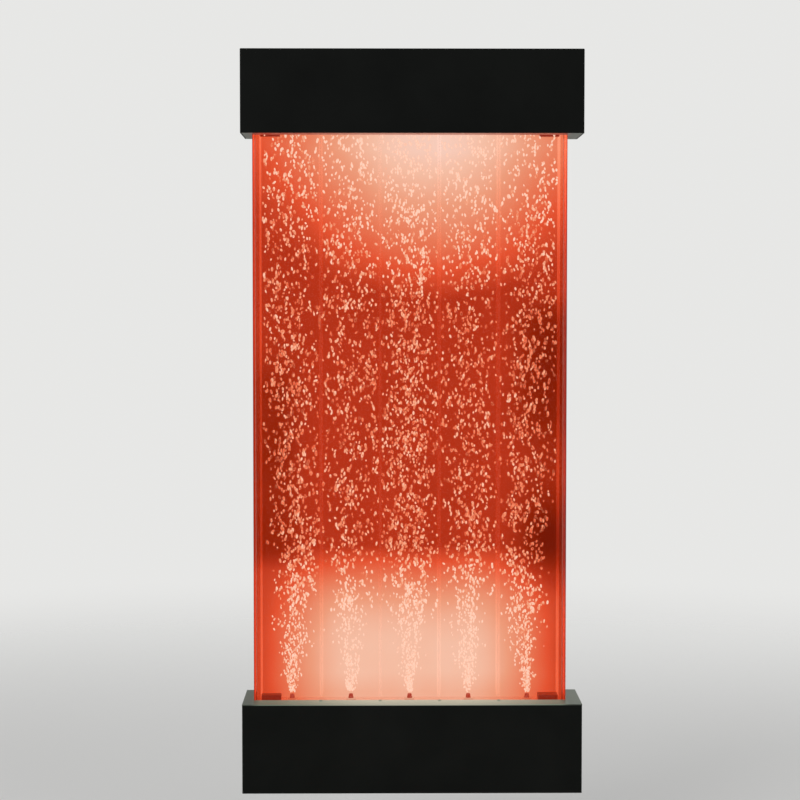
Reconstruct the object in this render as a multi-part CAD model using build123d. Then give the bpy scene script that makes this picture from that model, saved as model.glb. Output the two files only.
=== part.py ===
from build123d import *
import math
import os

# A wall-hung bubble panel: an acrylic tank of five channels between two black housings.
# X is to the right seen from the front, Y runs into the wall, Z is up, all in millimetres.
# The origin is on the wall, in the middle of the wall rail's bolt holes.

# Overall sizes
tank_width = 463.0
side_margin = 18.5
tank_shift = -3.0
housing_depth = 105.0
upper_height = 122.0
lower_height = 132.0
visible_height = 836.0
bracket_drop = 70.0

# Sheet metal
cover_sheet = 1.5
deck_sheet = 1.5
chassis_sheet = 1.5
back_sheet = 1.5
cradle_sheet = 2.0
rail_sheet = 2.0
cover_gap = 1.0
cover_bend = 1.5
slot_gap = 0.5
strip_gap = 3.0
lift_gap = 0.3
overrun = 1.0

# Wall rail and hanging rail
rail_length = 400.0
rail_hole_spacing_x = 320.0
rail_hole_spacing_z = 24.0
rail_hole_radius = 3.5
rail_edge = 10.0
rail_slot = 4.0
rail_run = 1.0
rail_lip = 14.0
hang_length = 380.0
hang_gap = 0.5
hang_engage = 10.0
hang_flange = 16.0
buffer_radius = 10.0
buffer_bore = 3.0
buffer_inset = 50.0
buffer_rise = 30.0

# Tank
tank_recess = 32.0
reflector_thick = 3.0
face_thick = 8.0
side_thick = 10.0
floor_thick = 10.0
divider_thick = 4.0
divider_foot = 10.0
divider_head = 25.0
lid_thick = 5.0
tank_sink = 16.0
tank_rise = 40.0
channel_count = 5
end_allowance = 3.0
reflector_inset = 0.5
back_inset = 2.0
back_panel_drop = 35.0
block_width = 29.0
block_height = 9.0
block_depth = 14.0
vent_length = 20.0
vent_width = 4.0
vent_step = 40.0
vent_count = 7

# Filler
filler_from_end = 60.0
filler_bore = 9.0
filler_wall = 3.0
filler_flange = 2.5
filler_flange_thick = 2.0
filler_height = 19.0
filler_back = 16.0
plug_depth = 12.0
plug_fit = 0.1
cap_radius = 14.0
cap_thick = 5.0
grip_flutes = 12
grip_flute_radius = 1.4

# Light bars
light_end_room = 43.0
light_width = 14.0
light_height = 12.0
light_wall = 1.5
light_board = 1.6
light_lens = 1.5
light_tab = 10.0
led_size = 5.0
led_height = 1.6
led_count = 24
upper_light_in = 19.0
lower_light_in = 10.0

# Air nozzles, their nuts, valves and hoses
nozzle_radius = 4.0
nozzle_bore = 1.2
nozzle_flange_radius = 7.0
nozzle_flange = 2.0
nozzle_tip = 6.0
nozzle_tip_radius = 2.8
nozzle_shank = 8.0
nozzle_clear = 0.3
seal_thick = 1.5
nut_across = 13.0
nut_height = 6.0
nut_clear = 0.1
barb_radius = 3.0
barb_length = 10.0
check_radius = 7.0
check_barb = 8.0
check_gap = 2.0
check_round = 1.2
hose_wall = 1.2
hose_barb_share = 0.45
hose_clear = 0.1

# Air manifold and flow knobs
manifold_size = 14.0
manifold_bore = 3.5
manifold_end = 9.0
manifold_barb = 8.0
manifold_foot = 10.0
stem_radius = 3.0
stem_depth = 4.0
stem_fit = 0.05
knob_radius = 9.0
knob_length = 10.0
knob_setback = 6.5
knob_mark = 1.2
knob_mark_depth = 0.6

# Air pump
pump_width = 44.0
pump_depth = 60.0
pump_height = 70.0
pump_wall = 2.0
pump_base_thick = 3.0
pump_end_gap = 3.0
pump_foot_height = 6.0
pump_foot_radius = 5.0
pump_foot_in = 8.0
head_width = 26.0
head_depth = 13.0
head_height = 26.0
head_clear = 1.0
outlet_rise = 35.0
diaphragm_radius = 9.0
diaphragm_length = 8.0
arm_thick = 3.0
arm_width = 12.0
arm_foot = 8.0
arm_head = 55.0
arm_pivot_rise = 11.0
arm_pin_radius = 1.5
arm_pin_fit = 0.05
arm_boss_radius = 3.5
ear_thick = 2.5
ear_gap = 1.0
ear_height = 15.0
magnet_thick = 5.0
magnet_height = 10.0
magnet_gap = 4.0
core_width = 12.0
core_leg_length = 14.0
core_yoke = 6.0
core_outer_leg = 6.0
core_middle_leg = 8.0
core_window = 5.0
coil_clear = 0.3

# Controller, power entry and leads
controller_width = 110.0
controller_depth = 70.0
controller_height = 24.0
controller_wall = 2.0
controller_front_gap = 11.0
board_rise = 4.0
board_thick = 1.6
board_clear = 0.5
board_post_radius = 2.0
chip_size = 12.0
chip_step = 24.0
chip_height = 5.0
entry_from_controller = 40.0
entry_width = 26.0
entry_depth = 46.0
entry_height = 22.0
entry_flange = 3.0
entry_flange_thick = 1.5
entry_fit = 0.3
inlet_width = 17.0
inlet_depth = 9.5
inlet_reach = 13.0
inlet_pin_radius = 1.2
inlet_pin_length = 10.0
inlet_pin_spacing = 8.6
inlet_from_middle = 12.0
rocker_width = 11.0
rocker_length = 16.0
rocker_face = 4.5
rocker_back = 3.0
rocker_tilt = 8.0
rocker_pin_radius = 1.2
rocker_pin_fit = 0.05
rocker_room = 1.5
rocker_from_middle = 9.0
rocker_pivot_rise = 5.7
lead_radius = 1.5
lead_rise = 12.0
lead_hole = 4.0
lead_bend_share = 0.45
lead_column_in = 8.5
pump_lead_front = 9.0
light_lead_out = 14.0
light_lead_in = 12.0
light_lead_drop = 8.5
upper_lead_rise = 6.0
upper_lead_back = 4.0
clip_count = 4
clip_height = 6.0
clip_width = 8.0
clip_mouth = 2.2
clip_fit = 0.05

# Drain
drain_bore = 5.0
drain_tail_radius = 8.0
drain_flange_radius = 10.5
drain_flange = 4.0
drain_thread = 4.0
drain_clear = 0.1
drain_drop = 60.0
drain_body_radius = 11.0
drain_body_half = 17.0
drain_body_round = 1.5
drain_ball_radius = 8.0
drain_ball_fit = 0.05
drain_hole_radius = 12.0
drain_spout_radius = 7.0
strainer_slot = 3.0
strainer_wall = 3.0
strainer_roof = 2.0
drain_stem_radius = 3.0
drain_boss_radius = 5.5
drain_boss_reach = 16.0
lever_back = 27.0
lever_thick = 3.0
lever_hub = 6.0
lever_width = 8.0
lever_reach = 34.0

# Fasteners, magnets and pegs
screw_radius = 2.0
screw_head = 3.6
screw_head_height = 2.4
recess_width = 0.9
recess_share = 0.65
screw_clear = 0.2
deck_screw_radius = 1.5
deck_screw_head = 2.4
deck_screw_head_height = 1.4
deck_screw_in = 25.0
deck_screw_tail = 1.0
soffit_screw_in = 15.0
magnet_radius = 6.0
magnet_disc = 2.5
magnet_from_end = 14.0
magnet_from_edge = 20.0
flange_width = 22.0
peg_radius = 3.0
peg_fit = 0.05
peg_past = 1.0
cover_lip = 12.0
rail_width = 24.5
rail_screw_rise = 15.0
floor_slot_length = 30.0
floor_slot_width = 3.0
floor_slot_step = 8.0
floor_slot_count = 5
cradle_flange = 16.0
cradle_tab = 24.0
nut_room = 1.5
light_room = 0.5

# Places that follow from the sizes: across the panel
panel_width = tank_width + 2 * side_margin
half_width = panel_width / 2
chassis_half = half_width - cover_sheet - cover_gap
chassis_inner = chassis_half - chassis_sheet
tank_left = tank_shift - tank_width / 2
tank_right = tank_shift + tank_width / 2
inner_left = tank_left + side_thick
inner_right = tank_right - side_thick
inner_width = inner_right - inner_left
channel_pitch = (inner_width - end_allowance) / channel_count
light_length = inner_width - light_end_room

# From the wall forward
wall_gap = rail_slot + 2 * rail_sheet + rail_run
y_chassis_back = -wall_gap
y_chassis = y_chassis_back - chassis_sheet
y_back_panel = y_chassis - back_sheet
y_tank_back = y_back_panel - reflector_thick
y_front = -housing_depth
y_tank_front = y_front + tank_recess
y_inner_back = y_tank_back - face_thick
y_inner_front = y_tank_front + face_thick
y_middle = (y_inner_back + y_inner_front) / 2
y_cover_inner = y_front + cover_sheet
y_upper_chassis = y_cover_inner + cover_gap
y_lower_chassis = y_cover_inner + magnet_disc
y_upper_light = y_tank_front + upper_light_in
y_lower_light = y_tank_front + lower_light_in

# From the top down
z_top = bracket_drop
z_soffit = z_top - upper_height
z_deck = z_soffit - visible_height
z_bottom = z_deck - lower_height
z_soffit_top = z_soffit + deck_sheet
z_cover_inner = z_top - cover_sheet
z_tank_top = z_soffit + tank_rise
z_lid = z_tank_top + lid_thick
z_deck_under = z_deck - deck_sheet
z_tank_bottom = z_deck - tank_sink
z_tank_floor = z_tank_bottom + floor_thick
z_cradle = z_tank_bottom - cradle_sheet
z_lower_floor = z_bottom + cover_sheet + lift_gap
z_floor_top = z_lower_floor + chassis_sheet
z_pump = z_floor_top + pump_foot_height
z_manifold = z_pump + outlet_rise
z_lead = z_floor_top + lead_rise
z_drain = z_tank_bottom - drain_drop

# Stations that several pieces share
channel_middles = [tank_shift + (n - (channel_count - 1) / 2) * channel_pitch for n in range(channel_count)]
divider_middles = [(a + b) / 2 for a, b in zip(channel_middles, channel_middles[1:])]
x_drain = inner_right - block_width / 2
x_filler = inner_right - filler_from_end
y_filler = y_tank_back - filler_back
x_pump = -chassis_inner + pump_end_gap + pump_width / 2
y_pump = y_middle - (pump_depth / 2 - pump_wall - head_clear - head_depth / 2)
x_controller = tank_shift
x_entry = x_controller - controller_width / 2 - entry_from_controller
y_controller = y_lower_chassis + controller_front_gap + controller_depth / 2
y_entry = y_controller
x_lead_column = tank_right - lead_column_in
x_magnets = [-chassis_half + magnet_from_end, chassis_half - magnet_from_end]
z_magnets = [z_floor_top + magnet_from_edge, z_deck_under - magnet_from_edge]
z_pegs = sum(z_magnets) / len(z_magnets)

pieces = {}


def about(middle, size):
    """The range of a size that is centred on a place."""
    return (middle - size / 2, middle + size / 2)


def span(x_range, y_range, z_range):
    """A block that fills three ranges, each given in either order."""
    ranges = [sorted(r) for r in (x_range, y_range, z_range)]
    size = [high - low for low, high in ranges]
    middle = [(high + low) / 2 for low, high in ranges]
    return Pos(*middle) * Box(*size)


def rod(start, end, radius):
    """A round bar between two points."""
    line = Vector(*end) - Vector(*start)
    place = Plane(origin=start, z_dir=line)
    return place * Pos(0, 0, line.length / 2) * Cylinder(radius, line.length)


def upright(x, y, z_range, radius):
    """A round bar along Z."""
    low, high = sorted(z_range)
    return Pos(x, y, (low + high) / 2) * Cylinder(radius, high - low)


def along_x(x_range, y, z, radius):
    """A round bar along X."""
    low, high = sorted(x_range)
    return rod((low, y, z), (high, y, z), radius)


def along_y(x, y_range, z, radius):
    """A round bar along Y."""
    low, high = sorted(y_range)
    return rod((x, low, z), (x, high, z), radius)


def tube(start, end, radius, bore):
    """A round bar with a hole through it."""
    line = (Vector(*end) - Vector(*start)).normalized() * overrun
    return rod(start, end, radius) - rod(Vector(*start) - line, Vector(*end) + line, bore)


def save(name, *solids):
    """Keep a sub-part, one solid or a group of separate ones."""
    pieces[name] = solids


def screw(at, toward, grip, radius, head, head_height):
    """A pan-head screw with a cross recess: at is under the head, toward points into the work."""
    place = Plane(origin=at, z_dir=toward)
    body = Pos(0, 0, grip / 2) * Cylinder(radius, grip)
    body += Pos(0, 0, -head_height / 2) * Cylinder(head, head_height)
    arm = 2 * head * recess_share
    cut = Box(arm, recess_width, head_height) + Box(recess_width, arm, head_height)
    return place * (body - Pos(0, 0, -head_height) * cut)


def fluted(shape, at, toward, radius, length):
    """Cut finger grooves round a cap or knob that starts at a point and runs toward its face."""
    place = Plane(origin=at, z_dir=toward)
    for n in range(grip_flutes):
        groove = Pos(radius, 0, length / 2) * Cylinder(grip_flute_radius, length + 2 * overrun)
        shape -= place * Rot(0, 0, n * 360 / grip_flutes) * groove
    return shape


# Screws: each list holds the point under the head, the way it goes in, and the grip
into_wall = (0, 1, 0)
forward = (0, -1, 0)
down = (0, 0, -1)
up = (0, 0, 1)
hang_bottom = rail_hole_spacing_z / 2 + rail_edge + rail_sheet + rail_lip
z_hang_screw = hang_bottom + rail_sheet + (hang_flange - rail_sheet) / 2
cradle_inner = chassis_inner - cradle_sheet
cradle_flange_back = y_back_panel - cradle_sheet
z_cradle_screw = z_tank_bottom - cradle_sheet - cradle_flange / 2
frame_shares = (-0.8, -0.3, 0.3, 0.8)
hang_screws = [((s * hang_length / 2, y_chassis, z_hang_screw), into_wall, chassis_sheet + rail_sheet)
               for s in frame_shares]
upper_back_screws = [((s * hang_length / 2, y_back_panel, rail_screw_rise), into_wall,
                      back_sheet + chassis_sheet) for s in frame_shares]
lower_back_screws = [((x, y_back_panel, z_drain), into_wall, back_sheet + chassis_sheet)
                     for x in divider_middles]
soffit_screws = [((s * chassis_half, y_upper_chassis + soffit_screw_in / 2, z_soffit_top + chassis_sheet),
                  down, chassis_sheet + deck_sheet) for s in frame_shares]
cradle_back_screws = [((x, cradle_flange_back, z_cradle_screw), into_wall,
                       cradle_sheet + back_sheet + chassis_sheet) for x in divider_middles]
cradle_end_screws = [((side * cradle_inner, y, z_cradle_screw), (side, 0, 0), cradle_sheet + chassis_sheet)
                     for side in (-1, 1) for y in (y_lower_light, y_inner_back)]
light_tab_x = [tank_shift - (light_length + light_tab) / 2, tank_shift + (light_length + light_tab) / 2]
upper_light_screws = [((x, y_upper_light, z_lid + light_wall), down, light_wall + lid_thick)
                      for x in light_tab_x]
lower_light_screws = [((x, y_lower_light, z_cradle - light_wall), up, light_wall + cradle_sheet)
                      for x in light_tab_x]
deck_screws = [((x, y_front + deck_screw_in, z_deck), down, deck_sheet + chassis_sheet + deck_screw_tail)
               for x in divider_middles]
frame_screws = (hang_screws + upper_back_screws + lower_back_screws + soffit_screws + cradle_back_screws
                + cradle_end_screws + upper_light_screws + lower_light_screws)


def drill(shape, screws, radius):
    """Clearance holes for a list of screws, through one sheet."""
    for at, toward, grip in screws:
        way = Vector(*toward)
        start = Vector(*at) - way * overrun
        shape -= rod(start, Vector(*at) + way * (grip + overrun), radius + screw_clear)
    return shape


# The wall rail and the rail that hangs on it
def wall_rail():
    low = -rail_hole_spacing_z / 2 - rail_edge
    bend = rail_hole_spacing_z / 2 + rail_edge
    along = (-rail_length / 2, rail_length / 2)
    reach = -rail_slot - rail_sheet
    rail = span(along, (-rail_sheet, 0), (low, bend + rail_sheet))
    rail += span(along, (reach, 0), (bend, bend + rail_sheet))
    rail += span(along, (reach, -rail_slot), (bend, bend + rail_sheet + rail_lip))
    for x in (-rail_hole_spacing_x / 2, rail_hole_spacing_x / 2):
        for z in (-rail_hole_spacing_z / 2, rail_hole_spacing_z / 2):
            rail -= rod((x, -rail_sheet - overrun, z), (x, overrun, z), rail_hole_radius)
    save("wall_rail", rail)


def hanging_rail():
    along = (-hang_length / 2, hang_length / 2)
    lip_front = -rail_slot + hang_gap
    lip_back = lip_front + rail_sheet
    web = (hang_bottom, hang_bottom + rail_sheet)
    rail = span(along, (y_chassis_back, lip_back), web)
    rail += span(along, (lip_front, lip_back), (hang_bottom - hang_engage, hang_bottom + rail_sheet))
    rail += span(along, (y_chassis_back, y_chassis_back + rail_sheet),
                 (hang_bottom, hang_bottom + hang_flange))
    save("hanging_rail", drill(rail, hang_screws, screw_radius))


def wall_buffers():
    x = half_width - buffer_inset
    z = z_bottom + buffer_rise
    save("wall_buffers", *[tube((side * x, y_chassis_back, z), (side * x, 0, z), buffer_radius, buffer_bore)
                           for side in (-1, 1)])


# Frame
def lead_holes(shape):
    """Holes where the upper light's lead goes through the back, low down and high up."""
    for z in (z_lead, z_lid + upper_lead_rise):
        shape -= rod((x_lead_column, y_back_panel - overrun, z),
                     (x_lead_column, y_chassis_back + overrun, z), lead_hole)
    return shape


def back_panel():
    panel = span((tank_left + back_inset, tank_right - back_inset), (y_chassis, y_back_panel),
                 (z_floor_top, z_top - back_panel_drop))
    panel = drill(panel, upper_back_screws + lower_back_screws + cradle_back_screws, screw_radius)
    save("back_panel", lead_holes(panel))


def back_reflector():
    save("back_reflector", span((tank_left + reflector_inset, tank_right - reflector_inset),
                                (y_tank_back, y_back_panel), (z_tank_bottom, z_tank_top)))


def housing_frame(y_face, z_low, z_high, z_strip):
    """The back plate, the two end plates and the flat strips round the tank, as one folded tray."""
    width = (-chassis_half, chassis_half)
    strip = (z_strip, z_strip + chassis_sheet)
    frame = span(width, (y_chassis_back, y_chassis), (z_low, z_high))
    for side in (-1, 1):
        frame += span((side * chassis_inner, side * chassis_half), (y_face, y_chassis_back), (z_low, z_high))
    frame += span(width, (y_face, y_face + rail_width), strip)
    frame += span((-chassis_half, tank_left - strip_gap), (y_face, y_chassis_back), strip)
    frame += span((tank_right + strip_gap, chassis_half), (y_face, y_chassis_back), strip)
    return frame


def upper_chassis():
    frame = housing_frame(y_upper_chassis, z_soffit_top, z_cover_inner, z_soffit_top)
    frame = drill(frame, hang_screws + upper_back_screws + soffit_screws, screw_radius)
    save("upper_chassis", lead_holes(frame))


def lower_chassis():
    strip = z_deck_under - chassis_sheet
    frame = housing_frame(y_lower_chassis, z_lower_floor, z_deck_under, strip)
    frame += span((-chassis_half, chassis_half), (y_lower_chassis, y_chassis_back),
                  (z_lower_floor, z_floor_top))
    for side in (-1, 1):
        frame += span((side * chassis_half, side * (chassis_half - flange_width)),
                      (y_lower_chassis, y_lower_chassis + chassis_sheet), (z_lower_floor, z_deck_under))
    for x in x_magnets:
        frame -= rod((x, y_cover_inner, z_pegs), (x, y_lower_chassis + chassis_sheet + overrun, z_pegs),
                     peg_radius + peg_fit)
    through = (z_lower_floor - overrun, z_floor_top + overrun)
    frame -= span(about(x_entry, entry_width + 2 * entry_fit), about(y_entry, entry_depth + 2 * entry_fit),
                  through)
    frame -= upright(x_drain, y_middle, through, drain_hole_radius)
    for n in range(floor_slot_count):
        y = y_pump + (n - (floor_slot_count - 1) / 2) * floor_slot_step
        frame -= span(about(x_pump, floor_slot_length), about(y, floor_slot_width), through)
    frame = drill(frame, lower_back_screws + cradle_back_screws + cradle_end_screws, screw_radius)
    frame = drill(frame, deck_screws, deck_screw_radius)
    save("lower_chassis", lead_holes(frame))


def tank_slot(plate, z):
    """The slot for the tank and the back panel, and the notch for the lead behind them."""
    through = (z - overrun, z + deck_sheet + overrun)
    plate -= span((tank_left - slot_gap, tank_right + slot_gap),
                  (y_tank_front - slot_gap, y_chassis + slot_gap), through)
    return plate - span(about(x_lead_column, 2 * lead_hole), (y_chassis_back, overrun), through)


def upper_soffit():
    half = half_width - cover_sheet - slot_gap
    plate = span((-half, half), (y_cover_inner + slot_gap, 0), (z_soffit, z_soffit_top))
    plate = tank_slot(plate, z_soffit)
    save("upper_soffit", drill(plate, soffit_screws, screw_radius))


def lower_deck():
    plate = span((-half_width, half_width), (y_front, 0), (z_deck_under, z_deck))
    plate = tank_slot(plate, z_deck_under)
    save("lower_deck", drill(plate, deck_screws, deck_screw_radius))


def upper_cover():
    hood = span((-half_width, half_width), (y_front, 0), (z_soffit, z_top))
    corners = hood.edges().filter_by(Axis.Z).group_by(Axis.Y)[0]
    rim = hood.edges().group_by(Axis.Z)[-1].filter_by(Axis.X).group_by(Axis.Y)[0]
    rim += hood.edges().group_by(Axis.Z)[-1].filter_by(Axis.Y)
    hood = fillet(corners + rim, cover_bend)
    inner = half_width - cover_sheet
    hood -= span((-inner, inner), (y_cover_inner, overrun), (z_soffit - overrun, z_cover_inner))
    save("upper_cover", hood)


def lower_cover():
    top = z_deck_under - lift_gap
    inner = half_width - cover_sheet
    shell = span((-half_width, half_width), (y_front, 0), (z_bottom, top))
    shell = fillet(shell.edges().filter_by(Axis.Z).group_by(Axis.Y)[0], cover_bend)
    shell -= span((-inner, inner), (y_cover_inner, overrun), (z_bottom - overrun, top + overrun))
    shell += span((-inner, inner), (y_cover_inner, y_front + cover_lip),
                  (z_bottom, z_bottom + cover_sheet))
    reach = y_lower_chassis + chassis_sheet + peg_past
    for x in x_magnets:
        shell += rod((x, y_cover_inner, z_pegs), (x, reach, z_pegs), peg_radius)
    save("lower_cover", shell)


def cover_magnets():
    save("cover_magnets", *[rod((x, y_cover_inner, z), (x, y_lower_chassis, z), magnet_radius)
                            for x in x_magnets for z in z_magnets])


def tank_cradle():
    inside = (-cradle_inner, cradle_inner)
    flange = (z_cradle - cradle_flange, z_tank_bottom)
    tab = (z_tank_bottom - cradle_tab, z_tank_bottom)
    shelf = span((-chassis_inner, chassis_inner), (y_tank_front, y_back_panel), (z_cradle, z_tank_bottom))
    shelf += span(inside, (y_tank_front, y_tank_front + cradle_sheet), flange)
    shelf += span(inside, (cradle_flange_back, y_back_panel), flange)
    for side in (-1, 1):
        shelf += span((side * cradle_inner, side * chassis_inner), (y_tank_front, y_back_panel), tab)
    through = (z_cradle - overrun, z_tank_bottom + overrun)
    shelf -= span(about(tank_shift, light_length + 2 * light_room),
                  about(y_lower_light, light_width + 2 * light_room), through)
    for x in channel_middles:
        shelf -= upright(x, y_middle, through, nut_across / 2 + nut_room)
    shelf -= upright(x_drain, y_middle, through, drain_flange_radius + light_room)
    shelf = drill(shelf, cradle_back_screws + cradle_end_screws + lower_light_screws, screw_radius)
    save("tank_cradle", shelf)


def fasteners():
    save("chassis_screws", *[screw(at, toward, grip, screw_radius, screw_head, screw_head_height)
                             for at, toward, grip in frame_screws])
    save("deck_screws", *[screw(at, toward, grip, deck_screw_radius, deck_screw_head, deck_screw_head_height)
                          for at, toward, grip in deck_screws])


# Tank
def tank_sheets():
    tall = (z_tank_bottom, z_tank_top)
    wide = (tank_left, tank_right)
    save("tank_front_sheet", span(wide, (y_tank_front, y_inner_front), tall))
    save("tank_back_sheet", span(wide, (y_inner_back, y_tank_back), tall))
    save("tank_left_wall", span((tank_left, inner_left), (y_inner_front, y_inner_back), tall))
    save("tank_right_wall", span((inner_right, tank_right), (y_inner_front, y_inner_back), tall))


def tank_floor():
    floor = span((inner_left, inner_right), (y_inner_front, y_inner_back), (z_tank_bottom, z_tank_floor))
    through = (z_tank_bottom - overrun, z_tank_floor + overrun)
    for x in channel_middles:
        floor -= upright(x, y_middle, through, nozzle_radius + nozzle_clear)
    floor -= upright(x_drain, y_middle, through, drain_tail_radius + drain_clear)
    save("tank_floor", floor)


def channel_dividers():
    tall = (z_tank_floor + divider_foot, z_tank_top - divider_head)
    save("channel_dividers", *[span(about(x, divider_thick), (y_inner_front, y_inner_back), tall)
                               for x in divider_middles])


def tank_lid():
    lid = span((tank_left, tank_right), (y_tank_front, y_tank_back), (z_tank_top, z_lid))
    through = (z_tank_top - overrun, z_lid + overrun)
    lid -= upright(x_filler, y_filler, through, filler_bore + filler_wall + plug_fit)
    for n in range(vent_count):
        x = inner_left + vent_step * (n + 1)
        lid -= span(about(x, vent_length), about(y_filler, vent_width), through)
    save("tank_lid", drill(lid, upper_light_screws, screw_radius))


def spacer_block(x_range, z_low):
    return span(x_range, about(y_middle, block_depth), (z_low, z_low + block_height))


def spacer_blocks():
    left = (inner_left, inner_left + block_width)
    right = (inner_right - block_width, inner_right)
    save("spacer_blocks", spacer_block(left, z_tank_floor), spacer_block(left, z_soffit),
         spacer_block(right, z_soffit))


def drain_strainer():
    x_open = inner_right - block_width
    depth = 2 * (drain_tail_radius + strainer_wall)
    z_thread = z_tank_floor + drain_thread
    z_roof = z_tank_floor + block_height - strainer_roof
    block = span((x_open, inner_right), about(y_middle, depth), (z_tank_floor, z_tank_floor + block_height))
    block -= upright(x_drain, y_middle, (z_tank_floor - overrun, z_thread), drain_tail_radius + drain_clear)
    block -= upright(x_drain, y_middle, (z_tank_floor, z_roof), drain_bore)
    for y in (y_middle - strainer_slot, y_middle + strainer_slot):
        block -= span((x_open - overrun, x_drain), about(y, strainer_slot), (z_thread, z_roof))
    save("drain_strainer", block)


def filler():
    def ring(z_range, radius):
        return upright(x_filler, y_filler, z_range, radius)

    outer = filler_bore + filler_wall
    z_rim = z_lid + filler_height
    neck = ring((z_tank_top, z_rim), outer)
    neck += ring((z_lid, z_lid + filler_flange_thick), outer + filler_flange)
    neck -= ring((z_tank_top - overrun, z_rim + overrun), filler_bore)
    save("filler_neck", neck)
    plug = ring((z_rim - plug_depth, z_rim), filler_bore - plug_fit)
    head = ring((z_rim, z_rim + cap_thick), cap_radius)
    head = fluted(head, (x_filler, y_filler, z_rim), up, cap_radius, cap_thick)
    save("filler_cap", plug + head)


# Light bars
def light_bar(name, y, mouth, facing, tab_from_mouth):
    """A channel with its board and lens: facing is 1 when it shines up, -1 when it shines down."""
    def level(near, far):
        return (mouth - facing * near, mouth - facing * far)

    half = light_length / 2
    along = (tank_shift - half, tank_shift + half)
    across = about(y, light_width)
    inside = (y - light_width / 2 + light_wall, y + light_width / 2 - light_wall)
    room = (along[0] + light_wall, along[1] - light_wall)
    back = light_height - light_wall
    channel = span(along, across, level(0, light_height)) - span(room, inside, level(-overrun, back))
    tab = level(tab_from_mouth, tab_from_mouth + light_wall)
    channel += span((along[0] - light_tab, along[0]), across, tab)
    channel += span((along[1], along[1] + light_tab), across, tab)
    board_face = back - light_board
    board = span(room, inside, level(board_face, back))
    step = (room[1] - room[0]) / led_count
    for n in range(led_count):
        x = room[0] + (n + 1 / 2) * step
        board += span(about(x, led_size), about(y, led_size), level(board_face - led_height, board_face))
    save(name + "_light_board", board)
    save(name + "_light_lens", span(room, inside, level(0, light_lens)))
    return channel


def light_bars():
    save("upper_light_channel", drill(light_bar("upper", y_upper_light, z_lid, -1, 0),
                                      upper_light_screws, screw_radius))
    save("lower_light_channel", drill(light_bar("lower", y_lower_light, z_tank_bottom, 1, cradle_sheet),
                                      lower_light_screws, screw_radius))


# Air line, from the nozzles down to the manifold
z_nozzle_flange = z_tank_floor + seal_thick
z_shank_end = z_tank_bottom - nozzle_shank
z_nozzle_end = z_shank_end - barb_length
z_manifold_top = z_manifold + manifold_size / 2
z_manifold_barb = z_manifold_top + manifold_barb
z_check_top = z_nozzle_end - check_gap - check_barb
z_check_bottom = z_manifold_barb + check_gap + check_barb
hose_bore = barb_radius + hose_clear
x_manifold = (channel_middles[0] - manifold_end, channel_middles[-1] + manifold_end)


def air_nozzle(x):
    z_flange_top = z_nozzle_flange + nozzle_flange
    body = upright(x, y_middle, (z_nozzle_flange, z_flange_top), nozzle_flange_radius)
    body += upright(x, y_middle, (z_shank_end, z_flange_top), nozzle_radius)
    cone = Cone(nozzle_radius, nozzle_tip_radius, nozzle_tip)
    body += Pos(x, y_middle, z_flange_top + nozzle_tip / 2) * cone
    body += upright(x, y_middle, (z_nozzle_end, z_shank_end), barb_radius)
    through = (z_nozzle_end - overrun, z_flange_top + nozzle_tip + overrun)
    return body - upright(x, y_middle, through, nozzle_bore)


def nozzle_nut(x):
    hexagon = RegularPolygon(nut_across / 2, 6, major_radius=False)
    z_low = z_tank_bottom - nut_height
    nut = Pos(x, y_middle, z_low) * extrude(hexagon, nut_height)
    return nut - upright(x, y_middle, (z_low - overrun, z_tank_bottom + overrun), nozzle_radius + nut_clear)


def check_valve(x):
    low = z_check_bottom - check_barb
    high = z_check_top + check_barb
    body = upright(x, y_middle, (z_check_bottom, z_check_top), check_radius)
    body = fillet(body.edges(), check_round)
    body += upright(x, y_middle, (low, high), barb_radius)
    return body - upright(x, y_middle, (low - overrun, high + overrun), nozzle_bore)


def air_line():
    save("air_nozzles", *[air_nozzle(x) for x in channel_middles])
    save("nozzle_seals", *[tube((x, y_middle, z_tank_floor), (x, y_middle, z_nozzle_flange),
                                nozzle_flange_radius, nozzle_radius + nozzle_clear) for x in channel_middles])
    save("nozzle_nuts", *[nozzle_nut(x) for x in channel_middles])
    save("check_valves", *[check_valve(x) for x in channel_middles])
    hoses = []
    for x in channel_middles:
        for low, high in ((z_manifold_top, z_check_bottom), (z_check_top, z_shank_end)):
            hoses.append(tube((x, y_middle, low), (x, y_middle, high), hose_bore + hose_wall, hose_bore))
    save("channel_hoses", *hoses)


def air_manifold():
    y_face = y_middle - manifold_size / 2
    deep = about(y_middle, manifold_size)
    left, right = x_manifold
    bar = span(x_manifold, deep, about(z_manifold, manifold_size))
    bar += span((left, left + manifold_foot), deep, (z_floor_top, z_manifold))
    bar += span((right - manifold_foot, right), deep, (z_floor_top, z_manifold))
    for x in channel_middles:
        bar += upright(x, y_middle, (z_manifold_top, z_manifold_barb), barb_radius)
    bar += along_x((left - hose_barb, left), y_middle, z_manifold, barb_radius)
    bar -= along_x((left - hose_barb - overrun, channel_middles[0]), y_middle, z_manifold, nozzle_bore)
    bar -= along_x((channel_middles[0], channel_middles[-1]), y_middle, z_manifold, manifold_bore)
    for x in channel_middles:
        bar -= upright(x, y_middle, (z_manifold, z_manifold_barb + overrun), nozzle_bore)
        bar -= along_y(x, (y_face - overrun, y_face + stem_depth), z_manifold, stem_radius + stem_fit)
    save("air_manifold", bar)


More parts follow.
